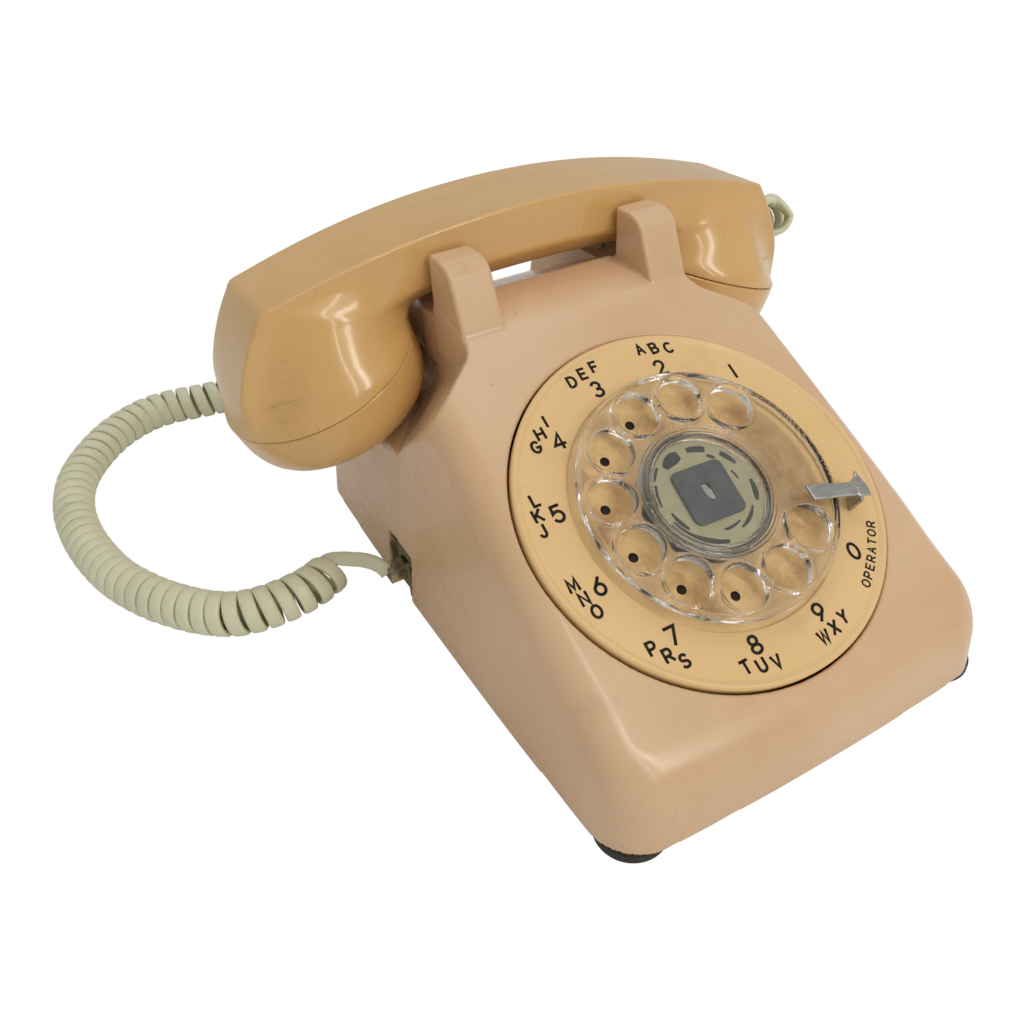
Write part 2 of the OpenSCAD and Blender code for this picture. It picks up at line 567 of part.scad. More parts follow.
module plug(w, h, l) color([0.75, 0.76, 0.7, 0.8]) translate([0, -w / 2, -h / 2]) cube([l, w, h]);
module base_plug() translate([-body_w / 2 - 5, socket_y, socket_z]) plug(6.6, 4.4, 12.5);
module handset_plug() at_handset_jack() translate([-7.2, 0, 0]) plug(6.6, 4.4, 11.5);
module cord_lead() color([0.72, 0.73, 0.64]) tube(smooth(lead_route, 3), lead_d / 2, 8);
module cord_end_lead() color([0.72, 0.73, 0.64]) tube(smooth(end_route, 2), lead_d / 2, 8);
module cord_coil() color([0.72, 0.73, 0.64]) tube(smooth(coil_route, 2), coil_d / 2, 12);

housing();
base_plate();
feet();
housing_screws();
number_plate();
dial_bracket();
dial_frame();
dial_back_plate();
finger_stop();
return_spring();
brake_drum();
pulse_contacts();
dial_shaft();
drive_gear();
finger_wheel();
number_card();
hub_plate();
pinion_spindle();
governor_rotor();
pulse_cam();
switch_bracket();
hinge_pin();
switch_lever();
lever_spring();
switch_contacts();
plunger_left();
plunger_right();
network_block();
network_terminals();
ringer_bracket();
ringer_coil();
gong_left();
gong_right();
gong_screws();
clapper();
loudness_wheel();
handset_cord_jack();
line_jack();
handset_handle();
receiver_cap();
transmitter_cap();
receiver_capsule();
transmitter_capsule();
transmitter_cup();
handset_jack();
base_plug();
cord_lead();
cord_coil();
cord_end_lead();
handset_plug();
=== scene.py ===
# Looks of a rotary desk telephone set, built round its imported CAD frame.
# The frame is in metres; shapes here are worked out in millimetres and turned into metres by build_mesh.
import json
import math

import bpy
import numpy as np
import openvdb
from mathutils import Matrix, Vector


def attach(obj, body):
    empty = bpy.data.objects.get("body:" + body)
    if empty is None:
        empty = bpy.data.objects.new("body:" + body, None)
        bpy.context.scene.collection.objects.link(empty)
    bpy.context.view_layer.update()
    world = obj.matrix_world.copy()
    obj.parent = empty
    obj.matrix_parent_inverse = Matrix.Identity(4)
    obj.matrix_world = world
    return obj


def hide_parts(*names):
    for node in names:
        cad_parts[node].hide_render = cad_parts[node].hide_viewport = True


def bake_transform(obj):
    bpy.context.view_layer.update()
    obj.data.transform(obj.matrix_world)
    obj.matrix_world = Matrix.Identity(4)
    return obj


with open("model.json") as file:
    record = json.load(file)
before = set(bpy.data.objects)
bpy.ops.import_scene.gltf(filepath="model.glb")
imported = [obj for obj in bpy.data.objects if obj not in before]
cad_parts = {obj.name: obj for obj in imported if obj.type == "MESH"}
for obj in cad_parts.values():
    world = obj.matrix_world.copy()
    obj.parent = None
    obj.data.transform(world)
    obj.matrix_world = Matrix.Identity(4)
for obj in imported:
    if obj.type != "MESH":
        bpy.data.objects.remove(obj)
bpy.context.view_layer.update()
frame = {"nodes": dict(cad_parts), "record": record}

MM = 0.001

# ---- places taken over from the CAD model, in millimetres ----
DIAL = np.array([0.0, -46.0, 58.4])
DIAL_TILT = math.radians(30)
FACE_W = -1.2
PLATE_R = 55.5
WHEEL_R = 38.4
HOLE_RING_R = 29.5
HOLE_R = 6.6
FIRST_HOLE = 45
HOLE_STEP = 30
DISH_R = 39.4
DISH_DEPTH = 1.9
DISH_HOLE_R = 20
CUP_R = 32.7
CAP_TILT = math.radians(20)
HANDSET_Y = 55.5
SEAM_X = 73.9
SEAM_Z = 77.3
HANDLE_TOP = 119.5
UNDER_Z = 97.5
HORN_IN = 26.4
HORN_OUT = 40.4
CREST_SLOPE = 5
CREST_DROP = 28
REAR_SLOPE = 22.8
SHOULDER_LOW = 57
PLUNGER = (30.5, 55.0)
PLUNGER_BORE_R = 3.6
PLUNGER_WELL_R = 4.5
PLUNGER_WELL_TOP = 88
WALL = 2.6
JACK_X = 103.3
JACK_Z = 89
JACK_TILT = 30
FEET = [(-56, -90.8), (56, -90.8), (-54, 84), (54, 84)]
FOOT_R = 10.15
BASE_Z = 4.0
SOCKET_Y = 22.6
SOCKET_Z = 15.0

# ---- camera ----
CAMERA_AT = Vector((-0.14378, -0.20261, 0.21109))
CAMERA_RIGHT = Vector((0.86507, -0.49908, -0.05072))
CAMERA_FORWARD = Vector((0.37324, 0.70789, -0.59965))
CAMERA_LENS = 32.2
SENSOR = 36.0


def make_camera():
    """Camera from its place and two of its directions; the third is worked out square to both."""
    data = bpy.data.cameras.new("camera")
    data.lens = CAMERA_LENS
    data.sensor_width = SENSOR
    camera = bpy.data.objects.new("camera", data)
    bpy.context.collection.objects.link(camera)
    back = -CAMERA_FORWARD.normalized()
    up = back.cross(CAMERA_RIGHT).normalized()
    right = up.cross(back)
    turn = Matrix((right, up, back)).transposed()
    camera.matrix_world = Matrix.Translation(CAMERA_AT) @ turn.to_4x4()
    bpy.context.scene.camera = camera


# ---- meshes ----


def build_mesh(name, points, faces, material, body, normals=None):
    """Object from points in millimetres and faces; it rides on body, if there is one."""
    mesh = bpy.data.meshes.new(name)
    mesh.from_pydata((np.asarray(points, float) * MM).tolist(), [], [list(map(int, f)) for f in faces])
    mesh.update()
    mesh.shade_smooth()
    if normals is not None:
        mesh.normals_split_custom_set_from_vertices(np.asarray(normals, float).tolist())
    mesh.materials.append(material)
    piece = bpy.data.objects.new(name, mesh)
    bpy.context.collection.objects.link(piece)
    if body:
        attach(piece, body)
    return piece


def from_dial(points):
    """Points of the dial's own frame (u, v, w) in the CAD frame."""
    points = np.asarray(points, float)
    c, s = math.cos(DIAL_TILT), math.sin(DIAL_TILT)
    turn = np.array([[1, 0, 0], [0, c, -s], [0, s, c]])
    return points @ turn.T + DIAL


def to_dial(x, y, z):
    c, s = math.cos(DIAL_TILT), math.sin(DIAL_TILT)
    y, z = y - DIAL[1], z - DIAL[2]
    return x - DIAL[0], c * y + s * z, -s * y + c * z


def cap_axes(side):
    """Middle of a cap's seam and the cap's own axes; the last points out of the cup."""
    middle = np.array([side * SEAM_X, HANDSET_Y, SEAM_Z])
    along = np.array([math.cos(CAP_TILT), 0, -side * math.sin(CAP_TILT)])
    out = np.array([-side * math.sin(CAP_TILT), 0, -math.cos(CAP_TILT)])
    return middle, along, np.array([0.0, 1.0, 0.0]), out


def lathe(profile, steps=96, closed=True):
    """Points and faces of a profile of (radius, height) turned about +Z."""
    profile = np.asarray(profile, float)
    angles = np.arange(steps) * 2 * math.pi / steps
    points = [(r * math.cos(a), r * math.sin(a), h) for a in angles for r, h in profile]
    n = len(profile)
    faces = []
    for i in range(steps):
        j = (i + 1) % steps
        for k in range(n if closed else n - 1):
            m = (k + 1) % n
            faces.append((i * n + k, j * n + k, j * n + m, i * n + m))
    return np.array(points), faces


def rounded_profile(corners, steps=5):
    """Closed outline whose corners (r, h, radius) are rounded."""
    out = []
    count = len(corners)
    for i, (r, h, radius) in enumerate(corners):
        here = np.array([r, h], float)
        before = np.array(corners[i - 1][:2], float) - here
        after = np.array(corners[(i + 1) % count][:2], float) - here
        if radius <= 0:
            out.append(tuple(here))
            continue
        a = before / np.linalg.norm(before)
        b = after / np.linalg.norm(after)
        half = math.acos(np.clip(a @ b, -1, 1)) / 2
        reach = min(radius / math.tan(half), 0.45 * np.linalg.norm(before), 0.45 * np.linalg.norm(after))
        for k in range(steps + 1):
            t = k / steps
            p = (1 - t) ** 2 * (here + a * reach) + 2 * t * (1 - t) * here + t * t * (here + b * reach)
            out.append(tuple(p))
    return out


def joined(parts):
    """One set of points and faces from several."""
    points, faces, offset = [], [], 0
    for part_points, part_faces in parts:
        points.append(part_points)
        faces += [tuple(i + offset for i in face) for face in part_faces]
        offset += len(part_points)
    return np.concatenate(points), faces


# ---- solids as distances: negative inside, in millimetres ----


def rounded_and(a, b, radius, angle=90):
    """Both solids at once; their edge, whose faces' normals are angle apart, is rounded."""
    cosine = np.cos(np.radians(angle))
    a, b = a + radius, b + radius
    edge = (a > cosine * b) & (b > cosine * a)
    corner = np.sqrt(np.maximum(a * a + b * b - 2 * cosine * a * b, 0)) / np.sqrt(1 - cosine * cosine)
    return np.where(edge, corner, np.maximum(a, b)) - radius


def rounded_or(a, b, radius, angle=90):
    return -rounded_and(-a, -b, radius, angle)


def polygon_distance(p, q, corners):
    """Signed distance in a plane to a polygon of corners."""
    corners = np.asarray(corners, float)
    best = np.full(np.shape(p), 1e9, dtype=np.float32)
    inside = np.zeros(np.shape(p), dtype=bool)
    for (ax, ay), (bx, by) in zip(corners, np.roll(corners, -1, axis=0)):
        ex, ey = bx - ax, by - ay
        wx, wy = p - ax, q - ay
        t = np.clip((wx * ex + wy * ey) / (ex * ex + ey * ey), 0, 1)
        best = np.minimum(best, (wx - ex * t) ** 2 + (wy - ey * t) ** 2)
        if ey != 0:
            crosses = ((ay <= q) & (by > q)) | ((by <= q) & (ay > q))
            inside ^= crosses & (p < ax + ex * (q - ay) / ey)
    return np.where(inside, -np.sqrt(best), np.sqrt(best))


def skin_of(distance, low, high, step):
    """Points, faces and normals of the skin of the solid where distance(x, y, z) is negative."""
    low = np.asarray(low, float)
    axes = [np.arange(a, b + step, step, dtype=np.float32) for a, b in zip(low, high)]
    values = distance(*np.meshgrid(*axes, indexing="ij"))
    grid = openvdb.FloatGrid(10.0)
    grid.copyFromArray(values.astype(np.float32))
    points, triangles, quads = grid.convertToPolygons(isovalue=0.0, adaptivity=0.0)
    points = points.astype(float) * step + low
    normals = None
    for _ in range(4):
        here = distance(*points.T)
        h = 0.02
        slope = np.stack([(distance(*(points + h * e).T) - distance(*(points - h * e).T)) / (2 * h)
                          for e in np.eye(3)], axis=1)
        size = np.maximum(np.linalg.norm(slope, axis=1), 0.2)
        normals = slope / size[:, None]
        move = np.clip(here / size, -0.4 * step, 0.4 * step)
        points = points - normals * move[:, None]
    faces = [tuple(f) for f in triangles] + [tuple(f) for f in quads]
    return points, faces, normals


# ---- materials ----


class Paint:
    """A material's node tree, with short ways to add the nodes that the materials here share."""

    def __init__(self, name):
        self.material = bpy.data.materials.new(name)
        self.material.use_nodes = True
        self.tree = self.material.node_tree
        self.shader = self.tree.nodes["Principled BSDF"]
        self.place = self.tree.nodes.new("ShaderNodeTexCoord").outputs["Object"]

    def set(self, **values):
        for key, value in values.items():
            socket = self.shader.inputs[key.replace("_", " ")]
            if isinstance(value, bpy.types.NodeSocket):
                self.tree.links.new(value, socket)
            else:
                socket.default_value = value

    def node(self, kind, inputs=(), **settings):
        node = self.tree.nodes.new(kind)
        for key, value in settings.items():
            setattr(node, key, value)
        for key, value in dict(inputs).items():
            if isinstance(value, bpy.types.NodeSocket):
                self.tree.links.new(value, node.inputs[key])
            else:
                node.inputs[key].default_value = value
        return node

    def stretched(self, scale=(1, 1, 1), turn=(0, 0, 0), move=(0, 0, 0)):
        inputs = {"Vector": self.place, "Scale": scale, "Rotation": turn, "Location": move}
        return self.node("ShaderNodeMapping", inputs).outputs["Vector"]

    def noise(self, scale, detail=3.0, rough=0.5, place=None):
        inputs = {"Vector": place or self.place, "Scale": scale, "Detail": detail, "Roughness": rough}
        return self.node("ShaderNodeTexNoise", inputs).outputs["Fac"]

    def steps(self, factor, stops):
        """Colour ramp from (position, grey or colour) stops."""
        node = self.node("ShaderNodeValToRGB", {"Fac": factor})
        while len(node.color_ramp.elements) < len(stops):
            node.color_ramp.elements.new(0.5)
        for element, (position, value) in zip(node.color_ramp.elements, stops):
            element.position = position
            element.color = (value, value, value, 1) if isinstance(value, (int, float)) else (*value, 1)
        return node.outputs["Color"]

    def mix(self, factor, a, b, blend="MIX"):
        node = self.node("ShaderNodeMix", data_type="RGBA", blend_type=blend)
        colours = [s for s in node.inputs if s.type == "RGBA"]
        for socket, value in ((node.inputs[0], factor), (colours[0], a), (colours[1], b)):
            if isinstance(value, bpy.types.NodeSocket):
                self.tree.links.new(value, socket)
            else:
                socket.default_value = value if isinstance(value, (int, float)) else (*value, 1)
        return [s for s in node.outputs if s.type == "RGBA"][0]

    def cover(self, base, mask, share, colour):
        """The base with a share of another colour over it where the mask is light."""
        return self.mix(self.math("MULTIPLY", mask, share), base, colour)

    def math(self, operation, a, b=0.0):
        node = self.node("ShaderNodeMath", {0: a, 1: b}, operation=operation)
        return node.outputs[0]

    def bump(self, height, strength, distance=0.0002, under=None):
        inputs = {"Height": height, "Strength": strength, "Distance": distance}
        if under:
            inputs["Normal"] = under
        return self.node("ShaderNodeBump", inputs).outputs["Normal"]


def linear(r, g, b):
    """Colour values from 0 to 255 as the shader takes them."""
    return tuple(((c / 255 + 0.055) / 1.055) ** 2.4 if c > 10 else c / 3294 for c in (r, g, b))


def fine_wear(paint, strength=0.03):
    """Dust pits and fine scratches in a moulded surface."""
    pits = paint.noise(900, 2.0, 0.6)
    scratches = paint.noise(60, 4.0, 0.7, paint.stretched((1, 14, 3), (0.4, 0.2, 0.7)))
    lines = paint.steps(scratches, [(0.47, 0), (0.5, 1), (0.53, 0)])
    waves = paint.noise(28, 1.0, 0.4)
    return paint.bump(pits, strength, 0.0001, paint.bump(lines, strength, 0.00003,
                      paint.bump(waves, 0.25, 0.0006)))


def housing_plastic():
    paint = Paint("housing_plastic")
    clouds = paint.noise(9, 3.0, 0.55)
    shade = paint.steps(clouds, [(0.35, 0), (0.65, 1)])
    base = paint.mix(shade, linear(210, 176, 138), linear(217, 182, 147))
    patches = paint.steps(paint.noise(16, 4.0, 0.6, paint.stretched((1, 1, 1), move=(0.3, 0.1, 0.2))),
                          [(0.5, 0), (0.72, 1)])
    base = paint.cover(base, patches, 0.5, linear(204, 158, 114))
    stains = paint.steps(paint.noise(35, 6.0, 0.7, paint.stretched((1, 1, 1), move=(0.7, 0.4, 0.9))),
                         [(0.62, 0), (0.8, 1)])
    base = paint.cover(base, stains, 0.35, linear(150, 116, 82))
    specks = paint.steps(paint.noise(420, 2.0, 0.5), [(0.76, 0), (0.79, 1)])
    base = paint.cover(base, specks, 0.45, linear(90, 68, 48))
    rough = paint.steps(paint.noise(45, 5.0, 0.65), [(0.3, 0.2), (0.7, 0.36)])
    paint.set(Base_Color=base, Roughness=rough, Normal=fine_wear(paint, 0.05))
    paint.set(Coat_Weight=0.12, Coat_Roughness=0.14, Subsurface_Weight=0.06, Subsurface_Scale=0.004)
    return paint.material


def handset_plastic():
    paint = Paint("handset_plastic")
    clouds = paint.noise(12, 3.0, 0.55)
    shade = paint.steps(clouds, [(0.35, 0), (0.65, 1)])
    base = paint.mix(shade, linear(211, 168, 104), linear(217, 175, 115))
    streaks = paint.steps(paint.noise(22, 5.0, 0.6, paint.stretched((1, 2.5, 2.5))), [(0.5, 0), (0.75, 1)])
    base = paint.cover(base, streaks, 0.4, linear(190, 142, 88))
    specks = paint.steps(paint.noise(430, 2.0, 0.5), [(0.765, 0), (0.79, 1)])
    base = paint.cover(base, specks, 0.4, linear(96, 66, 40))
    rough = paint.steps(paint.noise(50, 5.0, 0.65), [(0.3, 0.17), (0.7, 0.3)])
    paint.set(Base_Color=base, Roughness=rough, Normal=fine_wear(paint, 0.04))
    paint.set(Coat_Weight=0.35, Coat_Roughness=0.08, Subsurface_Weight=0.06, Subsurface_Scale=0.004)
    return paint.material


def dial_place(paint):
    """Object coordinates turned into the dial's own frame."""
    moved = paint.node("ShaderNodeVectorMath", {0: paint.place, 1: tuple(DIAL * MM)}, operation="SUBTRACT")
    inputs = {"Vector": moved.outputs[0], "Axis": (1, 0, 0), "Angle": -DIAL_TILT}
    return paint.node("ShaderNodeVectorRotate", inputs, rotation_type="AXIS_ANGLE").outputs[0]


def plate_plastic():
    paint = Paint("plate_plastic")
    clouds = paint.noise(14, 3.0, 0.5)
    shade = paint.steps(clouds, [(0.35, 0), (0.65, 1)])
    base = paint.mix(shade, linear(224, 186, 128), linear(229, 192, 138))
    place = dial_place(paint)
    flat = paint.node("ShaderNodeVectorMath", {0: place, 1: (1, 1, 0)}, operation="MULTIPLY").outputs[0]
    away = paint.node("ShaderNodeVectorMath", {0: flat}, operation="LENGTH").outputs["Value"]
    track = paint.steps(paint.math("DIVIDE", away, PLATE_R * MM), [(0.37, 0), (0.46, 1), (0.6, 1), (0.68, 0)])
    smears = paint.steps(paint.noise(70, 6.0, 0.68, place), [(0.42, 0), (0.66, 1)])
    dirt = paint.math("MULTIPLY", track, smears)
    base = paint.cover(base, dirt, 0.75, linear(148, 96, 46))
    rub = paint.steps(paint.noise(40, 5.0, 0.7, paint.stretched((1, 1, 1), move=(0.2, 0.5, 0.1))),
                      [(0.55, 0), (0.75, 1)])
    base = paint.cover(base, rub, 0.25, linear(186, 140, 84))
    rough = paint.steps(paint.noise(60, 4.0, 0.6), [(0.3, 0.3), (0.7, 0.46)])
    paint.set(Base_Color=base, Roughness=rough, Normal=fine_wear(paint, 0.04))
    return paint.material


def clear_plastic(name, tint, rough, cloud):
    paint = Paint(name)
    scratches = paint.noise(300, 4.0, 0.7, paint.stretched((1, 9, 1), (0.3, 0.5, 1.1)))
    haze = paint.steps(paint.noise(120, 5.0, 0.7), [(0.35, rough), (0.75, cloud)])
    paint.set(Base_Color=(*tint, 1), Roughness=haze, Transmission_Weight=1.0, IOR=1.49)
    paint.set(Normal=paint.bump(paint.steps(scratches, [(0.48, 0), (0.5, 1), (0.52, 0)]), 0.05, 0.00002))
    return paint.material


def simple_finish(name, colour, other, scale, rough, metallic=0.0, bump=0.05, stretch=(1, 1, 1), **more):
    """Two tones of one finish, uneven roughness and a fine grain."""
    paint = Paint(name)
    place = paint.stretched(stretch)
    grain = paint.noise(scale, 5.0, 0.65, place)
    base = paint.mix(paint.steps(grain, [(0.35, 0), (0.68, 1)]), colour, other)
    shine = paint.steps(paint.noise(scale * 0.6, 4.0, 0.6, place), [(0.3, rough[0]), (0.7, rough[1])])
    paint.set(Base_Color=base, Roughness=shine, Metallic=metallic)
    paint.set(Normal=paint.bump(paint.noise(scale * 3, 3.0, 0.6, place), bump, 0.0001), **more)
    return paint.material


def cord_vinyl():
    paint = Paint("cord_vinyl")
    clouds = paint.noise(30, 4.0, 0.6)
    shade = paint.steps(clouds, [(0.35, 0), (0.65, 1)])
    base = paint.mix(shade, linear(220, 219, 190), linear(210, 209, 180))
    grime = paint.steps(paint.noise(160, 6.0, 0.7), [(0.55, 0), (0.78, 1)])
    base = paint.cover(base, grime, 0.3, linear(134, 128, 96))
    specks = paint.steps(paint.noise(520, 2.0, 0.5), [(0.74, 0), (0.77, 1)])
    base = paint.cover(base, specks, 0.5, linear(82, 74, 50))
    rough = paint.steps(paint.noise(90, 4.0, 0.6), [(0.3, 0.38), (0.7, 0.55)])
    paint.set(Base_Color=base, Roughness=rough, Normal=paint.bump(paint.noise(700, 2.0), 0.06, 0.0001))
    paint.set(Subsurface_Weight=0.1, Subsurface_Scale=0.003)
    return paint.material


# Two tones from 0 to 255, grain, lowest and highest roughness, and what else simple_finish takes
FINISHES = {
    "card_paper": ((214, 212, 178), (200, 197, 162), 180, (0.6, 0.8)),
    "hub_metal": ((112, 118, 126), (92, 98, 106), 240, (0.3, 0.5)),
    "sheet_steel": ((168, 166, 158), (140, 138, 130), 60, (0.3, 0.5), 0.9, 0.08, (1, 12, 1)),
    "stop_metal": ((196, 196, 194), (168, 168, 166), 260, (0.22, 0.42), 1.0, 0.06, (1, 8, 1)),
    "screw_steel": ((200, 200, 198), (172, 172, 170), 300, (0.15, 0.3), 1.0),
    "brass": ((206, 172, 104), (176, 138, 76), 150, (0.2, 0.4), 1.0),
    "spring_steel": ((104, 104, 108), (84, 84, 90), 200, (0.25, 0.4), 1.0),
    "contact_metal": ((196, 180, 128), (170, 150, 100), 200, (0.2, 0.4), 1.0),
    "rubber": ((40, 36, 34), (54, 50, 47), 260, (0.6, 0.85), 0.0, 0.3),
    "jack_plastic": ((122, 114, 82), (98, 90, 62), 120, (0.35, 0.6)),
    "plunger_plastic": ((222, 216, 196), (208, 198, 172), 120, (0.3, 0.5)),
    "network_plastic": ((72, 66, 60), (58, 52, 46), 120, (0.4, 0.6)),
    "coil_wire": ((140, 66, 36), (112, 48, 26), 40, (0.3, 0.5), 0.0, 0.4, (40, 1, 1)),
    "gong_brass": ((208, 184, 128), (184, 156, 100), 120, (0.15, 0.3), 1.0),
    "capsule_metal": ((176, 176, 174), (150, 150, 148), 120, (0.3, 0.45), 1.0),
    "dark_plastic": ((46, 43, 40), (34, 32, 30), 160, (0.4, 0.6)),
}
PAINTS = {
    "housing_plastic": housing_plastic(),
    "handset_plastic": handset_plastic(),
    "plate_plastic": plate_plastic(),
    "clear_acrylic": clear_plastic("clear_acrylic", (0.97, 0.95, 0.92), 0.03, 0.16),
    "plug_clear": clear_plastic("plug_clear", (0.86, 0.86, 0.78), 0.08, 0.25),
    "cord_vinyl": cord_vinyl(),
}
for key, (tone, other_tone, *finish) in FINISHES.items():
    PAINTS[key] = simple_finish(key, linear(*tone), linear(*other_tone), *finish)
INK = simple_finish("ink", linear(16, 9, 8), linear(26, 16, 13), 400, (0.45, 0.65), 0.0, 0.1)
INK.node_tree.nodes["Principled BSDF"].inputs["Specular IOR Level"].default_value = 0.25
CARD_INK = simple_finish("card_ink", linear(70, 72, 74), linear(98, 100, 100), 300, (0.5, 0.7), 0.0, 0.1)
LIGHT_MARK = simple_finish("light_mark", linear(206, 212, 214), linear(186, 190, 194), 300, (0.3, 0.5))


def paint_cad_nodes():
    """Give every CAD piece the paint that the record names for it."""
    for part in frame["record"]["subparts"]:
        piece = frame["nodes"].get(part["node"])
        if piece is None:
            continue
        for piece_slot in piece.material_slots:
            piece_slot.material = PAINTS[part["material_slot"]]
        if not piece.material_slots:
            piece.data.materials.append(PAINTS[part["material_slot"]])


# ---- cord ----

COIL_D = 15.2
STRAND_W = 5.0
STRAND_T = 2.4
PITCH = 5.1
LEAD_ROUTE = [(-73, 22.6, 15), (-73.7, 23.9, 16.6), (-75.6, 27.2, 17.5), (-78.2, 31.8, 16.8),
              (-80.8, 36.8, 14.9)]
COIL_ROUTE = [
    (-85.6, 44.2, 7.9), (-88.2, 42.1, 7.8), (-91.8, 40.2, 7.8), (-97, 38.4, 7.8), (-105, 37.4, 7.8),
    (-113.5, 37.7, 7.8), (-121.9, 40.3, 7.8), (-129.6, 46.4, 7.8), (-136.6, 54.5, 7.8), (-143.6, 65, 7.8),
    (-150.7, 80, 7.8),
    (-155.4, 97.6, 7.8), (-157.9, 116.7, 7.8), (-157.4, 136, 7.8), (-152.6, 155, 7.8), (-143, 171.6, 7.8),
    (-131.6, 184, 7.8), (-118.6, 191.4, 7.8), (-106.9, 192.8, 7.8), (-92, 190, 7.8), (-72, 187, 7.8),
    (-48, 182, 7.8), (-20, 174, 7.8), (12, 165, 7.8), (44, 154, 7.8), (70, 143, 8.2), (86, 134, 11),
    (97, 126, 18), (105, 116, 28), (110.5, 104, 41), (116, 90, 58), (119, 76, 72), (119, 64, 80),
    (117, 56, 84.5)]
END_ROUTE = [(113, 55, 91.9), (111, 55.2, 92), (109, 55.4, 91.7), (107, 55.5, 91.1)]
POINTS_A_TURN = 18
PART_TURN = 0.13


def smooth_route(route, steps):
    """Catmull-Rom curve through the route's points."""
    p = np.asarray(route, float)
    out = []
    for i in range(len(p) - 1):
        a, b, c, d = p[max(i - 1, 0)], p[i], p[i + 1], p[min(i + 2, len(p) - 1)]
        for k in range(steps):
            t = k / steps
            out.append(0.5 * (2 * b + (c - a) * t + (2 * a - 5 * b + 4 * c - d) * t * t
                              + (3 * b - a - 3 * c + d) * t ** 3))
    out.append(p[-1])
    return np.array(out)


def along(points):
    """Length along a line of points, from 0."""
    return np.concatenate([[0], np.cumsum(np.linalg.norm(np.diff(points, axis=0), axis=1))])


def steady_frames(points, first_side):
    """Directions along a curve and across it, which turn no more than the curve does."""
    ahead = np.gradient(points, axis=0)
    ahead /= np.linalg.norm(ahead, axis=1)[:, None]
    side = np.asarray(first_side, float)
    sides = []
    for t in ahead:
        side = side - t * (side @ t)
        side /= np.linalg.norm(side)
        sides.append(side)
    sides = np.array(sides)
    return ahead, sides, np.cross(ahead, sides)


def sweep(name, points, wide, thick, half_w, half_t, material, body, sides=12):
    """Rounded flat strand: wide and thick are its directions at each point, half_w and half_t its halves."""
    n = len(points)
    half_w = np.broadcast_to(half_w, n)
    half_t = np.broadcast_to(half_t, n)
    rings = []
    for k in range(sides):
        a = 2 * math.pi * (k + 0.5) / sides
        cx = math.copysign(abs(math.cos(a)) ** 0.55, math.cos(a))
        cy = math.copysign(abs(math.sin(a)) ** 0.75, math.sin(a))
        rings.append(points + wide * (half_w * cx)[:, None] + thick * (half_t * cy)[:, None])
    rings = np.stack(rings, axis=1).reshape(-1, 3)
    faces = [tuple(range(sides - 1, -1, -1)), tuple(range((n - 1) * sides, n * sides))]
    for i in range(n - 1):
        for k in range(sides):
            m = (k + 1) % sides
            faces.append((i * sides + k, i * sides + m, (i + 1) * sides + m, (i + 1) * sides + k))
    return build_mesh(name, rings, faces, material, body)


def ease(t):
    """Smooth step from 0 to 1."""
    t = np.clip(t, 0, 1)
    return t * t * (3 - 2 * t)


def make_cord():
    """One flat strand: a straight lead out of the base, the curly stretch, and the lead into the handset."""
    axis = smooth_route(COIL_ROUTE, 24)
    reach = along(axis)
    total = reach[-1]
    # The first turn lies closest and the next few stand open, as the last one does; from 70 mm on, the turns
    # come gradually to lie 0.9 mm further apart
    place, turns = [0.0], [0.0]
    while place[-1] < total:
        open_up = 1.0 * math.exp(-place[-1] / 16) - 2.2 * math.exp(-(place[-1] / 3) ** 2)
        open_up += 0.9 * math.exp(-(total - place[-1]) / 8)
        open_up += 0.9 * ease((place[-1] - 70) / 90)
        wobble = 0.16 * math.sin(place[-1] * 0.11) + 0.1 * math.sin(place[-1] * 0.37 + 1)
        place.append(place[-1] + (PITCH + open_up + wobble) / POINTS_A_TURN)
        turns.append(turns[-1] + 1 / POINTS_A_TURN)
    place = np.minimum(np.array(place), total)
    centre = np.stack([np.interp(place, reach, axis[:, i]) for i in range(3)], axis=1)
    ahead, side, up = steady_frames(centre, (0, 0, 1))
    # The strand comes over the near shoulder of the coil, and ends at the top of its last turn
    whole = math.floor(turns[-1]) + PART_TURN
    angle = 2 * math.pi * (np.array(turns) * whole / turns[-1] - PART_TURN)
    outward = side * np.cos(angle)[:, None] + up * np.sin(angle)[:, None]
    helix = centre + outward * (COIL_D / 2 - STRAND_T / 2)
    lead = smooth_route(LEAD_ROUTE, 8)
    tail = smooth_route(END_ROUTE, 6)
    path = np.concatenate([lead, helix, tail])
    flat_up = np.array([-0.34, -0.5, -0.8])
    wide_lead = np.tile(flat_up / np.linalg.norm(flat_up), (len(lead), 1))
    wide_tail = np.tile([0.0, 1.0, 0.0], (len(tail), 1))
    wide = np.concatenate([wide_lead, ahead, wide_tail])
    # Round off the joins between the stretches, but hold both ends where they are
    keep = path.copy()
    for _ in range(14):
        for start in (len(lead), len(lead) + len(helix)):
            near = slice(max(start - 7, 1), min(start + 7, len(path) - 1))
            left = slice(near.start - 1, near.stop - 1)
            right = slice(near.start + 1, near.stop + 1)
            path[near] = (path[near] * 2 + path[left] + path[right]) / 4
            wide[near] = wide[near] * 2 + wide[left] + wide[right]
            wide[near] /= np.linalg.norm(wide[near], axis=1)[:, None]
    path[0], path[-1] = keep[0], keep[-1]
    tangent = np.gradient(path, axis=0)
    tangent /= np.linalg.norm(tangent, axis=1)[:, None]
    wide = wide - tangent * np.sum(wide * tangent, axis=1)[:, None]
    wide /= np.linalg.norm(wide, axis=1)[:, None]
    thick = np.cross(tangent, wide)
    cord = sweep("cord", path, wide, thick, STRAND_W / 2, STRAND_T / 2, PAINTS["cord_vinyl"], None)
    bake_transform(cord)
    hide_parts("cord_lead", "cord_coil", "cord_end_lead")
    return cord


# ---- housing ----


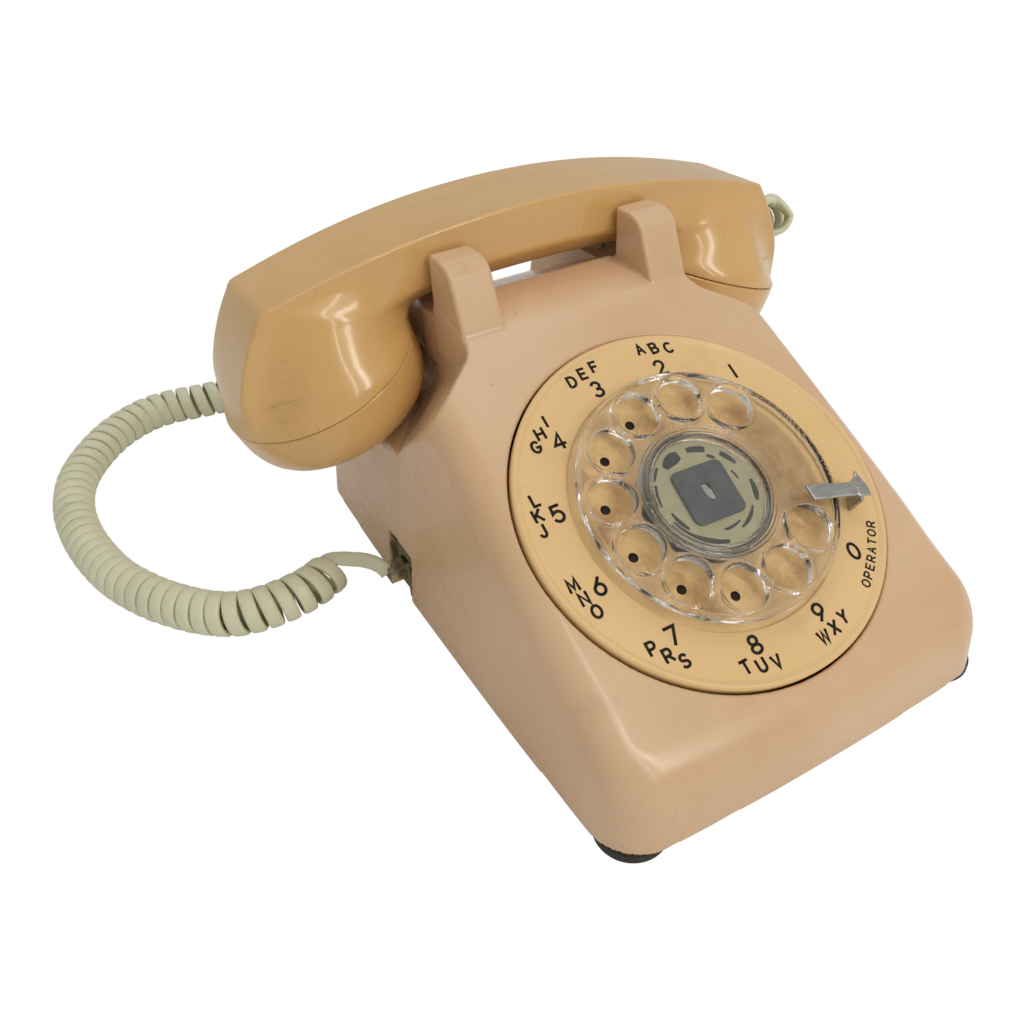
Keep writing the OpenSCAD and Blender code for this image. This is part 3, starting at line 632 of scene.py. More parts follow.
def half_width(y):
    """Half the housing's width at the height of the base; the sides bow out a little."""
    return 68.07 + 0.017 * (y + 46) - 1.59 * ((y + 46) / 80) ** 2


def saddle_bowl(x, y, z):
    """Hollow that a handset cup sits over: a cap's shape, opened upwards."""
    middle, ahead, _, out = cap_axes(1)
    x, y, z = np.abs(x) - middle[0], y - middle[1], z - middle[2]
    r = np.hypot(x * ahead[0] + z * ahead[2], y)
    h = x * out[0] + z * out[2]
    bowl_r, bowl_h = 36.5, 26.4
    lower = ((r / bowl_r) ** 3 + (np.maximum(h, 0) / bowl_h) ** 3) ** (1 / 3)
    return (lower - 1) * bowl_h


def housing_outer(x, y, z):
    """The housing as a solid lump: walls, sloping face, crest, shoulders, saddle and horns."""
    ax = np.abs(x)
    side = (ax - half_width(y) + 0.105 * (z - 4)) * 0.9945
    front = -y - (103.3 - 2.3 * (x / 66) ** 2) + 0.05 * (z - 4)
    back = y - 103 + 0.05 * (z - 4)
    walls = rounded_and(np.maximum(front, back), side, 13, 90)
    face = -(y - DIAL[1]) * math.sin(DIAL_TILT) + (z - DIAL[2]) * math.cos(DIAL_TILT) - FACE_W
    rise, dip, fall = (math.radians(a) for a in (CREST_SLOPE, CREST_DROP, REAR_SLOPE))
    crest = (z - 95.4) * math.cos(rise) - (y - 30) * math.sin(rise)
    drop = (z - 96.8) * math.cos(dip) + (y - 46) * math.sin(dip)
    rear = (z - 94) * math.cos(fall) + (y - 42) * math.sin(fall)
    top = rounded_and(face, crest, 40, 30 - CREST_SLOPE)
    top = np.maximum(rounded_and(top, drop, 16, CREST_SLOPE + CREST_DROP), rear)
    # The edge to the front wall is rounder than those to the side walls
    forward = ease((-y - 62) / 34)
    body = rounded_and(walls, top, 9 + 9 * forward, 86 - 26 * forward)
    lean, turn = math.radians(53.3), math.radians(37.4)
    nx, ny, nz = math.sin(lean) * math.cos(turn), math.sin(lean) * math.sin(turn), math.cos(lean)
    cut = (ax - 60.6) * nx + (y - 2.7) * ny + (z - 77.2) * nz
    tool = rounded_and(-cut, HORN_OUT - ax, 3)
    tool = np.maximum(tool, np.maximum(SHOULDER_LOW - z, y - 55))
    body = rounded_and(body, -tool, 1.5, 74)
    body = rounded_and(body, -saddle_bowl(x, y, z), 1.2)
    front_horn = polygon_distance(y, z, [(15, 80), (15.4, 90), (22.9, 108.6), (25, 110.8), (29, 112),
                                         (36.4, 112), (36.4, 80)])
    back_horn = polygon_distance(y, z, [(74.6, 74), (74.6, 104.5), (76, 106), (82, 105), (85, 101), (94, 70)])
    slab = np.abs(ax - (HORN_IN + HORN_OUT) / 2) - (HORN_OUT - HORN_IN) / 2
    horns = rounded_and(np.minimum(front_horn, back_horn), slab, 1.2)
    body = rounded_or(body, horns, 0.8)
    seat = np.maximum(np.maximum(np.abs(ax - 32.7) - 7.7, np.abs(y - 53) - 23), np.abs(z - 84.5) - 8.5)
    body = np.minimum(body, seat)
    # Upright way past the saddle for a cap that is lifted
    body = np.maximum(body, -np.maximum(np.hypot(ax - 72, y - HANDSET_Y) - 33.3, 78.2 - z))
    saddle = np.maximum(np.maximum(np.abs(ax - 33.1) - 8.1, np.abs(y - HANDSET_Y) - 19.1), 93 - z)
    return np.maximum(body, -saddle)


def housing_distance(x, y, z):
    """The housing as a shell, with the dial's hole, the plungers' bores and the two jack slots."""
    outer = housing_outer(x, y, z)
    shell = np.maximum(outer, -(outer + WALL))
    shell = rounded_and(shell, BASE_Z - z, 0.5)
    u, v, w = to_dial(x, y, z)
    dial_hole = np.maximum(np.hypot(u, v) - 56.1, -12 - w)
    shell = rounded_and(shell, -dial_hole, 0.8)
    for side in (-1, 1):
        from_plunger = np.hypot(x - side * PLUNGER[0], y - PLUNGER[1])
        well = np.maximum(from_plunger - PLUNGER_WELL_R, z - PLUNGER_WELL_TOP)
        bore = np.minimum(from_plunger - PLUNGER_BORE_R, well)
        shell = np.maximum(shell, -np.maximum(bore, 70 - z))
    side_slot = np.maximum(np.maximum(x + 60, z - 22), np.abs(y - 26) - 9)
    rear_slot = np.maximum(np.maximum(97 - y, z - 20), np.abs(x + 29) - 9)
    return np.maximum(np.maximum(shell, -side_slot), -rear_slot)


def make_housing():
    step = 0.8
    points, faces, normals = skin_of(housing_distance, (-70, -106, 2), (70, 106, 114), step)
    housing = build_mesh("housing_skin", points, faces, PAINTS["housing_plastic"], "base", normals)
    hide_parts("housing")


# ---- handset ----

FAN = [
    # inner point (x, z), outer point (x, z), how far the top and the sides are round
    ((0, UNDER_Z), (0, HANDLE_TOP), 0, 0),
    ((10, 97.4), (15, 119.1), 0, 0),
    ((20, 97.0), (30, 118.0), 0, 0),
    ((28, 96.4), (45, 116.1), 0, 0.01),
    ((34, 95.9), (60, 113.4), 0, 0.04),
    ((38, 95.4), (74, 110.2), 0, 0.11),
    ((40.3, 94.6), (84, 107.5), 0, 0.20),
    ((41.4, 93.7), (90.8, 105.5), 0, 0.28),
    ((41.8, 93.1), (92.2, 103.6), 0, 0.33),
    ((42.1, 92.5), (94.4, 100.2), 0, 0.39),
    ((42.4, 91.8), (96.8, 95.8), 0, 0.47),
    ((42.7, 91.0), (99.2, 90.6), 0.01, 0.57),
    ((42.9, 90.2), (101.4, 85.0), 0.05, 0.70),
    ((43.05, 89.5), (103.3, 79.0), 0.16, 0.84),
    ((43.15, 88.9), (104.4, 72.6), 0.50, 0.96),
    ((43.2, 88.48), (104.63, 66.12), 1, 1),
]
GRIP_W = 17.85
CORNER = 0.9
BEVEL = 7.0
# Shares of a section's points below its widest place, and up to and past its top corner
LOW_SHARE = 0.46
SIDE_SHARE = 0.72
TOP_SHARE = 0.8


def fan_section(station, count):
    """One section of the half handset, from the middle of its underside round to the middle of its top."""
    (ix, iz), (ox, oz), top_round, side_round = station
    inner, outer = np.array([ix, 0, iz], float), np.array([ox, 0, oz], float)
    span = outer - inner
    size = np.linalg.norm(span)
    half = GRIP_W - 2.28 * (min(ox, 93) / 100) ** 2
    share = np.linspace(0, 1, count)
    # Lower half: flat with a bevel at the grip, elliptical at the cup
    low = np.clip(share / LOW_SHARE, 0, 1)
    cup_like = math.sin(min(side_round * 1.6, 1) * math.pi / 2)
    radius_y = half + (CUP_R - half) * side_round
    bevel_s = np.interp(low, [0, 0.34, 0.68, 1], [0, 1 - BEVEL / half, 1, 1])
    bevel_t = np.interp(low, [0, 0.34, 0.68, 1], [0, 0, 0.32, 0.5])
    for _ in range(6):
        bevel_s[1:-1] = (bevel_s[:-2] + 2 * bevel_s[1:-1] + bevel_s[2:]) / 4
        bevel_t[1:-1] = (bevel_t[:-2] + 2 * bevel_t[1:-1] + bevel_t[2:]) / 4
    round_s, round_t = np.sin(low * math.pi / 2), 0.5 - 0.5 * np.cos(low * math.pi / 2)
    low_s = radius_y * (bevel_s * (1 - cup_like) + round_s * cup_like)
    low_t = bevel_t * (1 - cup_like) + round_t * cup_like
    # Upper half of the grip: an upright side, a corner, and a flat top
    corner = CORNER + 7 * top_round
    bend = np.interp(share, [SIDE_SHARE, TOP_SHARE], [0, math.pi / 2])
    up = np.interp(share, [LOW_SHARE, SIDE_SHARE], [0.5, 1 - corner / size])
    grip_s = np.where(share < SIDE_SHARE, half, half - corner * (1 - np.cos(bend)))
    grip_t = np.where(share < SIDE_SHARE, up, 1 - corner * (1 - np.sin(bend)) / size)
    flat = share > TOP_SHARE
    grip_s = np.where(flat, np.interp(share, [TOP_SHARE, 1], [half - corner, 0]), grip_s)
    grip_t = np.where(flat, 1, grip_t)
    # Upper half of the cup
    edge = math.radians(31)
    turn = np.interp(share, [LOW_SHARE, SIDE_SHARE, TOP_SHARE, 1], [math.pi / 2, edge + 0.03, edge - 0.03, 0])
    climb = np.clip((share - LOW_SHARE) / (SIDE_SHARE - LOW_SHARE), 0, 1)
    weight = side_round + (top_round - side_round) * ease(climb ** 1.6)
    cup_s, cup_t = CUP_R * np.sin(turn), 0.5 + 0.5 * np.cos(turn)
    high_s = grip_s * (1 - weight) + cup_s * weight
    high_t = grip_t * (1 - weight) + cup_t * weight
    s = np.where(share < LOW_SHARE, low_s, high_s)
    t = np.where(share < LOW_SHARE, low_t, high_t)
    return inner + span * t[:, None] + np.array([0, 1, 0]) * s[:, None]


def between_stations(count):
    """The fan's stations with more of them in between, along smooth lines through them."""
    flat = np.array([[*a, *b, c, d] for a, b, c, d in FAN], float)
    rows = smooth_route(flat, 8)
    reach = along(rows[:, 2:4])
    wanted = np.linspace(0, reach[-1], count)
    rows = np.stack([np.interp(wanted, reach, rows[:, k]) for k in range(6)], axis=1)
    for _ in range(14):
        rows[1:-1, 4:] = (rows[:-2, 4:] + 2 * rows[1:-1, 4:] + rows[2:, 4:]) / 4
    rows[:, 4:] = np.clip(rows[:, 4:], 0, 1)
    return [((r[0], r[1]), (r[2], r[3]), r[4], r[5]) for r in rows]


def make_handset():
    """The handset's handle with its two cups, from fan-shaped sections, with a hollow in each cup."""
    count = 72
    stations = between_stations(90)
    half = [fan_section(s, count) for s in stations]
    ring = 2 * count - 2
    rows = []
    for section in half:
        mirrored = section[1:-1][::-1] * np.array([1, -1, 1])
        rows.append(np.concatenate([section, mirrored]))
    rows = np.array(rows)
    left = rows[1:][::-1] * np.array([-1, 1, 1])
    outer = np.concatenate([left, rows]) + np.array([0, HANDSET_Y, 0])
    points = [outer.reshape(-1, 3)]
    faces = []
    n = len(outer)
    for i in range(n - 1):
        for k in range(ring):
            m = (k + 1) % ring
            faces.append((i * ring + k, i * ring + m, (i + 1) * ring + m, (i + 1) * ring + k))
    offset = n * ring
    # Rim turned in at each seam, then the pocket that takes the capsule
    for side, first, pocket_r, pocket_floor in ((-1, 0, 20.7, -18.3), (1, n - 1, 8.0, -15.0)):
        middle, ahead, across, out = cap_axes(side)
        edge = outer[first] - middle
        a = np.arctan2(edge @ across, edge @ ahead)
        profile = [(CUP_R - 0.3, -0.25), (CUP_R - 1.6, -0.3), (29.6, -0.3), (29.55, -0.5), (29.4, -1.6),
                   (27.4, -4.5), (27.2, -8.8)]
        profile += [(pocket_r, -8.8), (pocket_r, pocket_floor), (0.2, pocket_floor)]
        before = first * ring
        for r, h in profile:
            layer = middle + out * h + (ahead * np.cos(a)[:, None] + across * np.sin(a)[:, None]) * r
            points.append(layer)
            for k in range(ring):
                m = (k + 1) % ring
                face = (before + k, before + m, offset + m, offset + k)
                faces.append(face if side > 0 else face[::-1])
            before = offset
            offset += ring
        end = tuple(before + k for k in range(ring))
        faces.append(end if side > 0 else end[::-1])
    handle = build_mesh("handset_skin", np.concatenate(points), faces, PAINTS["handset_plastic"], "handset")
    handle.data.set_sharp_from_angle(angle=math.radians(50))
    # Opening for the handset's jack, at the right end
    turn = Matrix.Rotation(math.radians(-JACK_TILT), 4, "Y")
    bpy.ops.mesh.primitive_cube_add(size=1)
    tool = bpy.context.object
    jack_at = Vector((JACK_X * MM, HANDSET_Y * MM, JACK_Z * MM))
    tool.matrix_world = Matrix.Translation(jack_at) @ turn @ Matrix.Diagonal((0.026, 0.0104, 0.0084, 1))
    cut = handle.modifiers.new("opening", "BOOLEAN")
    cut.operation = "DIFFERENCE"
    cut.solver = "EXACT"
    cut.object = tool
    bpy.context.view_layer.update()
    final = bpy.data.meshes.new_from_object(handle.evaluated_get(bpy.context.evaluated_depsgraph_get()))
    handle.modifiers.clear()
    handle.data = final
    bpy.data.objects.remove(tool)
    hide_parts("handset_handle")


CAP_OUTER = [(0.0, 22.0), (9.0, 21.9), (15.0, 21.6), (19.0, 21.1), (22.3, 20.4), (25.0, 19.4), (27.2, 18.1),
             (29.0, 16.5), (30.4, 14.5), (31.4, 12.2), (32.05, 9.6), (32.4, 6.8), (32.55, 3.8), (32.6, 0.9)]
CAP_INNER = [(31.3, 0.32), (31.2, -0.25), (29.25, -0.25), (29.2, 6.0), (28.2, 10.0), (26.2, 13.4),
             (23.0, 16.0), (19.0, 17.6), (13.0, 18.5), (0.0, 18.8)]


def make_cap(side):
    """Screwed-on cap with rounded lip and sound holes; the right one is the transmitter's."""
    outline = CAP_OUTER + [(32.35, 0.55), (31.9, 0.35)] + CAP_INNER
    holes = []
    if side < 0:
        holes = [(0, 0)] + [(7 * math.cos(k * math.pi / 3), 7 * math.sin(k * math.pi / 3)) for k in range(6)]
    else:
        holes = [(5 * math.cos(k * math.pi / 3), 5 * math.sin(k * math.pi / 3)) for k in range(6)]
        holes += [(10.5 * math.cos(k * math.pi / 6), 10.5 * math.sin(k * math.pi / 6)) for k in range(12)]

    def cap(x, y, z):
        body = polygon_distance(np.hypot(x, y), z, outline)
        lip = np.maximum(np.abs(np.hypot(x, y) - 28.5) - 0.8, np.maximum(-5 - z, z - 1))
        body = np.minimum(body, lip)
        for hx, hy in holes:
            body = np.where((z > 8) & (np.hypot(x, y) < 16),
                            rounded_and(body, 1.3 - np.hypot(x - hx, y - hy), 0.35), body)
        return body

    step = 0.5
    points, faces, normals = skin_of(cap, (-34, -34, -6), (34, 34, 23.5), step)
    middle, ahead, across, out = cap_axes(side)
    turn = np.array([ahead, across, out])
    if np.linalg.det(turn) < 0:
        faces = [f[::-1] for f in faces]
    name = "receiver_cap" if side < 0 else "transmitter_cap"
    piece = build_mesh(name + "_skin", points @ turn + middle, faces, PAINTS["handset_plastic"], "handset",
                       normals @ turn)
    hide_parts(name)


# ---- dial ----


def make_number_plate():
    corners = [(DISH_HOLE_R, -DISH_DEPTH, 0.2), (DISH_R, -DISH_DEPTH, 0.5), (DISH_R + 0.5, -0.5, 0.5),
               (52.9, -0.5, 0.8), (54.3, 0.25, 1.2), (PLATE_R, -0.4, 0.9), (PLATE_R, -4.0, 0.3),
               (DISH_HOLE_R, -4.0, 0.1)]
    points, faces = lathe(rounded_profile(corners), 192)
    plate = build_mesh("number_plate_skin", from_dial(points), faces, PAINTS["plate_plastic"], "base")
    plate.data.set_sharp_from_angle(angle=math.radians(40))
    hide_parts("number_plate")


def make_wheel():
    """Clear finger wheel: ten holes with collars, a rolled rim, and ridges round the middle."""
    holes = [math.radians(FIRST_HOLE + HOLE_STEP * k) for k in range(10)]

    def wheel(x, y, z):
        r = np.hypot(x, y)
        ridges = 0.13 * np.cos((r - 17.2) * 2 * math.pi / 1.05) * ((r > 16.7) & (r < 21.4))
        flat = np.maximum(np.maximum(z - 4.15 - ridges, 2.05 - z), r - WHEEL_R)
        rim = np.hypot(np.maximum(np.abs(r - (WHEEL_R - 0.75)) - 0.2, 0),
                       np.maximum(np.abs(z - 3.4) - 0.75, 0)) - 0.7
        body = np.minimum(flat, rim)
        for a in holes:
            away = np.hypot(x - HOLE_RING_R * math.cos(a), y - HOLE_RING_R * math.sin(a))
            collar = np.hypot(np.maximum(np.abs(away - (HOLE_R + 0.7)) - 0.05, 0),
                              np.maximum(np.abs(z - 3.45) - 0.75, 0)) - 0.62
            body = rounded_or(body, collar, 0.4)
            body = np.maximum(body, HOLE_R - away)
        ring = np.maximum(np.abs(r - 18.1) - 0.8, np.abs(z - 1.0) - 1.2)
        return np.minimum(body, ring)

    step = 0.36
    points, faces, normals = skin_of(wheel, (-40, -40, -0.8), (40, 40, 5.6), step)
    piece = build_mesh("finger_wheel_skin", from_dial(points), faces, PAINTS["clear_acrylic"], "dial",
                       from_dial(normals) - DIAL)
    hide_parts("finger_wheel")


def arc(cx, cy, rx, ry, start, end, steps=14):
    angles = np.radians(np.linspace(start, end, steps))
    return [(cx + rx * math.cos(a), cy + ry * math.sin(a)) for a in angles]


# Strokes of each character on a grid 6 high
GLYPHS = {
    "A": [[(0, 0), (2, 6), (4, 0)], [(0.8, 2.1), (3.2, 2.1)]],
    "B": [[(0, 0), (0, 6), *arc(2.1, 4.55, 1.5, 1.45, 90, -90), (0, 3.1)],
          [(1.9, 3.1), *arc(2.2, 1.55, 1.7, 1.55, 90, -90), (0, 0)]],
    "C": [arc(2.3, 3, 2.2, 3, 48, 312, 22)],
    "D": [[(0, 0), (0, 6), *arc(1.7, 3, 2.4, 3, 90, -90, 18), (0, 0)]],
    "E": [[(3.4, 6), (0, 6), (0, 0), (3.5, 0)], [(0, 3.1), (3, 3.1)]],
    "F": [[(3.4, 6), (0, 6), (0, 0)], [(0, 3.1), (2.9, 3.1)]],
    "G": [[*arc(2.3, 3, 2.2, 3, 48, 345, 22), (4.45, 2.7), (2.6, 2.7)]],
    "H": [[(0, 0), (0, 6)], [(4, 0), (4, 6)], [(0, 3.1), (4, 3.1)]],
    "I": [[(1, 0), (1, 6)]],
    "J": [[(3, 6), (3, 1.7), *arc(1.5, 1.6, 1.5, 1.6, 0, -170)]],
    "K": [[(0, 0), (0, 6)], [(3.8, 6), (0.1, 2.2)], [(1.4, 3.5), (4, 0)]],
    "L": [[(0, 6), (0, 0), (3.2, 0)]],
    "M": [[(0, 0), (0.3, 6), (2.4, 1.2), (4.5, 6), (4.8, 0)]],
    "N": [[(0, 0), (0, 6), (3.9, 0), (3.9, 6)]],
    "O": [arc(2.3, 3, 2.3, 3, 90, 450, 26)],
    "P": [[(0, 0), (0, 6), *arc(2.2, 4.3, 1.6, 1.7, 90, -90), (0, 2.6)]],
    "R": [[(0, 0), (0, 6), *arc(2.2, 4.3, 1.6, 1.7, 90, -90), (0, 2.6)], [(2, 2.6), (4, 0)]],
    "S": [[*arc(2, 4.5, 1.7, 1.5, 30, 270), *arc(2, 1.5, 1.9, 1.5, 90, -150)]],
    "T": [[(0, 6), (4, 6)], [(2, 6), (2, 0)]],
    "U": [[(0, 6), (0, 2), *arc(2, 2, 2, 2, 180, 360), (4, 6)]],
    "V": [[(0, 6), (2, 0), (4, 6)]],
    "W": [[(0, 6), (1.4, 0), (2.7, 5.6), (4, 0), (5.4, 6)]],
    "X": [[(0, 0), (3.9, 6)], [(0, 6), (3.9, 0)]],
    "Y": [[(0, 6), (2, 2.9), (4, 6)], [(2, 2.9), (2, 0)]],
    "0": [arc(2, 3, 1.9, 3, 90, 450, 26)],
    "1": [[(1, 0), (1, 6)]],
    "2": [[*arc(1.9, 4.2, 1.8, 1.8, 165, -35), (0, 0), (3.9, 0)]],
    "3": [arc(1.8, 4.45, 1.6, 1.55, 150, -90), arc(1.8, 1.55, 1.9, 1.6, 90, -150)],
    "4": [[(2.9, 0), (2.9, 6), (0, 1.7), (4.1, 1.7)]],
    "5": [[(3.5, 6), (0.6, 6), (0.3, 3.3), *arc(1.9, 1.95, 1.95, 1.95, 115, -150)]],
    "6": [[(3, 6), (0.9, 3.4), *arc(1.95, 1.9, 1.85, 1.9, 145, -215, 22)]],
    "7": [[(0, 6), (3.8, 6), (1.3, 0)]],
    "8": [arc(2, 4.5, 1.55, 1.5, 90, 450, 20), arc(2, 1.5, 1.9, 1.5, 90, 450, 20)],
    "9": [[(1.1, 0), (3.1, 2.7), *arc(2.05, 4.1, 1.85, 1.9, -35, 325, 22)]],
}


def stroke_mesh(strokes, size, thick, high):
    """Raised rounded strokes in a plane: points (x, y, height) and faces, the glyph's middle at 0."""
    every = np.array([p for line in strokes for p in line])
    middle = (every.min(0) + every.max(0)) / 2
    middle[1] = 3
    points, faces = [], []
    for line in strokes:
        p = (np.array(line) - middle) * size / 6
        keep = np.concatenate([[True], np.linalg.norm(np.diff(p, axis=0), axis=1) > 1e-4])
        p = p[keep]
        ahead = np.gradient(p, axis=0)
        step = np.diff(p, axis=0)
        step /= np.linalg.norm(step, axis=1)[:, None]
        ahead[0], ahead[-1] = step[0], step[-1]
        ahead[1:-1] = step[:-1] + step[1:]
        ahead /= np.linalg.norm(ahead, axis=1)[:, None]
        stretch = np.ones(len(p))
        stretch[1:-1] = 1 / np.maximum(np.sqrt((1 + np.sum(step[:-1] * step[1:], axis=1)) / 2), 0.45)
        across = np.stack([-ahead[:, 1], ahead[:, 0]], axis=1) * stretch[:, None]
        closed = np.linalg.norm(p[0] - p[-1]) < 1e-3
        if not closed:
            p = p.copy()
            p[0] -= ahead[0] * thick * 0.25
            p[-1] += ahead[-1] * thick * 0.25
        start = len(points)
        section = [(-0.5, -0.3), (-0.46, 0.65), (-0.25, 1.0), (0.25, 1.0), (0.46, 0.65), (0.5, -0.3)]
        for here, side in zip(p, across):
            for s, h in section:
                points.append((*(here + side * s * thick), h * high))
        k = len(section)
        for i in range(len(p) - 1):
            for j in range(k - 1):
                a = start + i * k + j
                faces.append((a, a + 1, a + 1 + k, a + k)[::-1])
        if not closed:
            faces.append(tuple(start + j for j in range(k)))
            faces.append(tuple(start + (len(p) - 1) * k + j for j in range(k))[::-1])
    return np.array(points), faces


# Degrees between the letters of one group
LETTER_STEP = 5.3


def make_characters():
    """Letters and digits on the ring of the number plate, upright, and OPERATOR round the rim."""
    groups = ["ABC", "DEF", "GHI", "JKL", "MNO", "PRS", "TUV", "WXY"]
    marks = []
    for k, letters in enumerate(groups):
        at = FIRST_HOLE + HOLE_STEP * (k + 1)
        clockwise = k < 4
        r = {0: 50.8, 1: 50.1}.get(k, 49.3)
        for j, letter in enumerate(letters):
            angle = at + LETTER_STEP * (1 - j if clockwise else j - 1)
            marks.append((letter, r, angle, 3.35, 0.86, 0))
    for k, digit in enumerate("1234567890"):
        r = {0: 46.9, 9: 45.4}.get(k, 43.7)
        at = FIRST_HOLE + HOLE_STEP * k + (1 if k == 9 else 0)
        marks.append((digit, r, at, 4.7, 0.95, 0))
    for k, letter in enumerate("OPERATOR"):
        angle = 306.1 + 3.157 * k
        marks.append((letter, 50.8, angle, 2.4, 0.52, angle + 90))
    parts = []
    for letter, r, angle, size, thick, turn in marks:
        p, f = stroke_mesh(GLYPHS[letter], size, thick, 0.13)
        t = math.radians(turn)
        x = p[:, 0] * math.cos(t) - p[:, 1] * math.sin(t) + r * math.cos(math.radians(angle))
        y = p[:, 0] * math.sin(t) + p[:, 1] * math.cos(t) + r * math.sin(math.radians(angle))
        parts.append((np.stack([x, y, p[:, 2] - 0.5], axis=1), f))
    points, faces = joined(parts)
    piece = build_mesh("dial_characters", from_dial(points), faces, INK, "base")
    # Painted dots under the finger holes 3 to 8
    parts = []
    for k in range(2, 8):
        a = math.radians(FIRST_HOLE + HOLE_STEP * k)
        p, f = lathe([(0, -2.0), (1.5, -2.0), (1.42, -1.83), (0.7, -1.8), (0, -1.8)], 28, closed=False)
        p = p + np.array([HOLE_RING_R * math.cos(a), HOLE_RING_R * math.sin(a), 0])
        parts.append((p, f))
    points, faces = joined(parts)
    piece = build_mesh("dial_dots", from_dial(points), faces, INK, "base")


def make_card_and_hub():
    """Paper card under the clear middle, with worn generic marks, and the grey plate over its centre."""
    outline = rounded_profile([(0.01, 0.9, 0), (16.8, 0.9, 0.15), (16.8, 0.5, 0.05), (0.01, 0.5, 0)])
    points, faces = lathe(outline, 96)
    card = build_mesh("card_skin", from_dial(points), faces, PAINTS["card_paper"], "dial")
    card.data.set_sharp_from_angle(angle=math.radians(40))
    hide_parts("number_card")
    bands = [
        # radius, width, from, to
        (13.6, 3.6, 96, 124), (14.0, 2.6, 60, 84), (12.2, 1.2, 46, 58), (14.4, 2.0, 20, 42),
        (15.2, 1.6, 150, 176), (13.4, 1.2, 186, 214), (15.0, 2.2, 196, 262), (11.6, 0.9, 262, 292),
        (13.4, 1.1, 286, 322), (14.8, 1.6, 330, 356), (11.4, 0.8, 2, 18), (15.6, 1.0, 128, 146)]
    points, faces = [], []
    for r, width, start, end in bands:
        steps = max(4, int((end - start) / 4))
        first = len(points)
        for k, a in enumerate(np.radians(np.linspace(start, end, steps))):
            half = width / 2 * (0.55 + 0.45 * math.sin(math.pi * (k + 0.5) / steps))
            half *= 1 + 0.18 * math.sin(7.3 * a + r)
            for s in (-1, -0.9, 0.9, 1):
                h = 0.93 if abs(s) < 1 else 0.86
                points.append(((r + s * half) * math.cos(a), (r + s * half) * math.sin(a), h))
        for k in range(steps - 1):
            for j in range(3):
                i = first + 4 * k + j
                faces.append((i, i + 1, i + 5, i + 4))
    marks = build_mesh("card_marks", from_dial(points), faces, CARD_INK, "dial")

    def plate(x, y, z):
        a = math.radians(-2)
        u, v = x * math.cos(a) + y * math.sin(a), -x * math.sin(a) + y * math.cos(a)
        square = np.hypot(np.maximum(np.abs(u) - 6.3, 0), np.maximum(np.abs(v) - 6.3, 0)) - 2.2
        body = rounded_and(square, np.abs(z - 1.45) - 0.55, 0.25)
        slot = np.maximum(np.abs(u) - 1.2, np.abs(v) - 2.6)
        return rounded_and(body, -slot, 0.15)

    points, faces, normals = skin_of(plate, (-10, -10, 0.4), (10, 10, 2.4), 0.2)
    hub = build_mesh("hub_skin", from_dial(points), faces, PAINTS["hub_metal"], "dial",
                     from_dial(normals) - DIAL)
    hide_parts("hub_plate")
    a = math.radians(30)
    corners = [(-1.2, -2.6), (1.2, -2.6), (1.2, 2.6), (-1.2, 2.6)]
    slot = [(u * math.cos(a) - v * math.sin(a), u * math.sin(a) + v * math.cos(a), 1.6) for u, v in corners]
    build_mesh("hub_slot_floor", from_dial(slot), [(0, 1, 2, 3)], LIGHT_MARK, "dial")


STOP_BLADE = [(24.9, -10.4), (25.0, -15.2), (29.5, -16.4), (35.0, -17.6), (40.0, -19.2), (43.9, -20.4),
              (44.6, -17.6), (43.9, -11.8), (42.4, -13.4), (39.6, -14.4), (35.0, -13.2), (30.0, -11.4)]


def make_finger_stop():
    """Bent sheet-metal hook: a pointed blade over the wheel, and a foot through the number plate."""

    def stop(x, y, z):
        plan = polygon_distance(x, y, STOP_BLADE)
        lift = 6.9 - 0.055 * (x - 25) - 0.004 * np.maximum(x - 36, 0) ** 2
        blade = rounded_and(plan, np.abs(z - lift) - 0.55, 0.45)
        a = math.radians(-25)
        u, v = x * math.cos(a) + y * math.sin(a), -x * math.sin(a) + y * math.cos(a)
        foot = np.maximum(np.maximum(np.abs(u - 44.8) - 0.55, np.abs(v) - 2.1), np.maximum(-8 - z, z - 6.4))
        return rounded_or(blade, foot, 0.5)

    points, faces, normals = skin_of(stop, (24, -23.5, -8.5), (48, -9.5, 8), 0.3)
    piece = build_mesh("finger_stop_skin", from_dial(points), faces, PAINTS["stop_metal"], "base",
                       from_dial(normals) - DIAL)
    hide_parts("finger_stop")


# ---- feet and cord jack ----


def make_feet():
    corners = [(0.01, 0, 0), (8.8, 0, 1.2), (FOOT_R, 1.6, 1.0), (FOOT_R, 4, 0.2), (0.01, 4, 0)]
    profile = rounded_profile(corners)
    points, faces = lathe(profile, 72)
    every, all_faces = joined([(points + np.array([x, y, 0]), faces) for x, y in FEET])
    feet = build_mesh("feet_skin", every, all_faces, PAINTS["rubber"], "base")
    feet.data.set_sharp_from_angle(angle=math.radians(40))
    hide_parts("feet")


def make_cord_jack():
    """Jack behind the slot in the left side, with its upright ribs."""

    def jack(x, y, z):
        body = np.maximum(np.maximum(np.abs(x + 58.3) - 7.5, np.abs(y - 26) - 8.6), np.abs(z - 12.5) - 8)
        ribs = np.maximum(np.abs(x + 66.2) - 1.4, np.abs(z - 12.5) - 7.2)
        near = np.minimum(np.abs(y - 18.1) - 0.55, np.abs(y - 31.6) - 0.9)
        body = np.minimum(body, rounded_and(ribs, near, 0.3))
        hole = np.maximum(np.maximum(np.abs(y - SOCKET_Y) - 3.9, np.abs(z - SOCKET_Z) - 3.1), x + 54.8)
        return np.maximum(body, -hole)

    points, faces, normals = skin_of(jack, (-69, 16, 3), (-49, 36, 22), 0.4)
    piece = build_mesh("cord_jack_skin", points, faces, PAINTS["jack_plastic"], "base", normals)
    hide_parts("handset_cord_jack")


# ---- stage ----


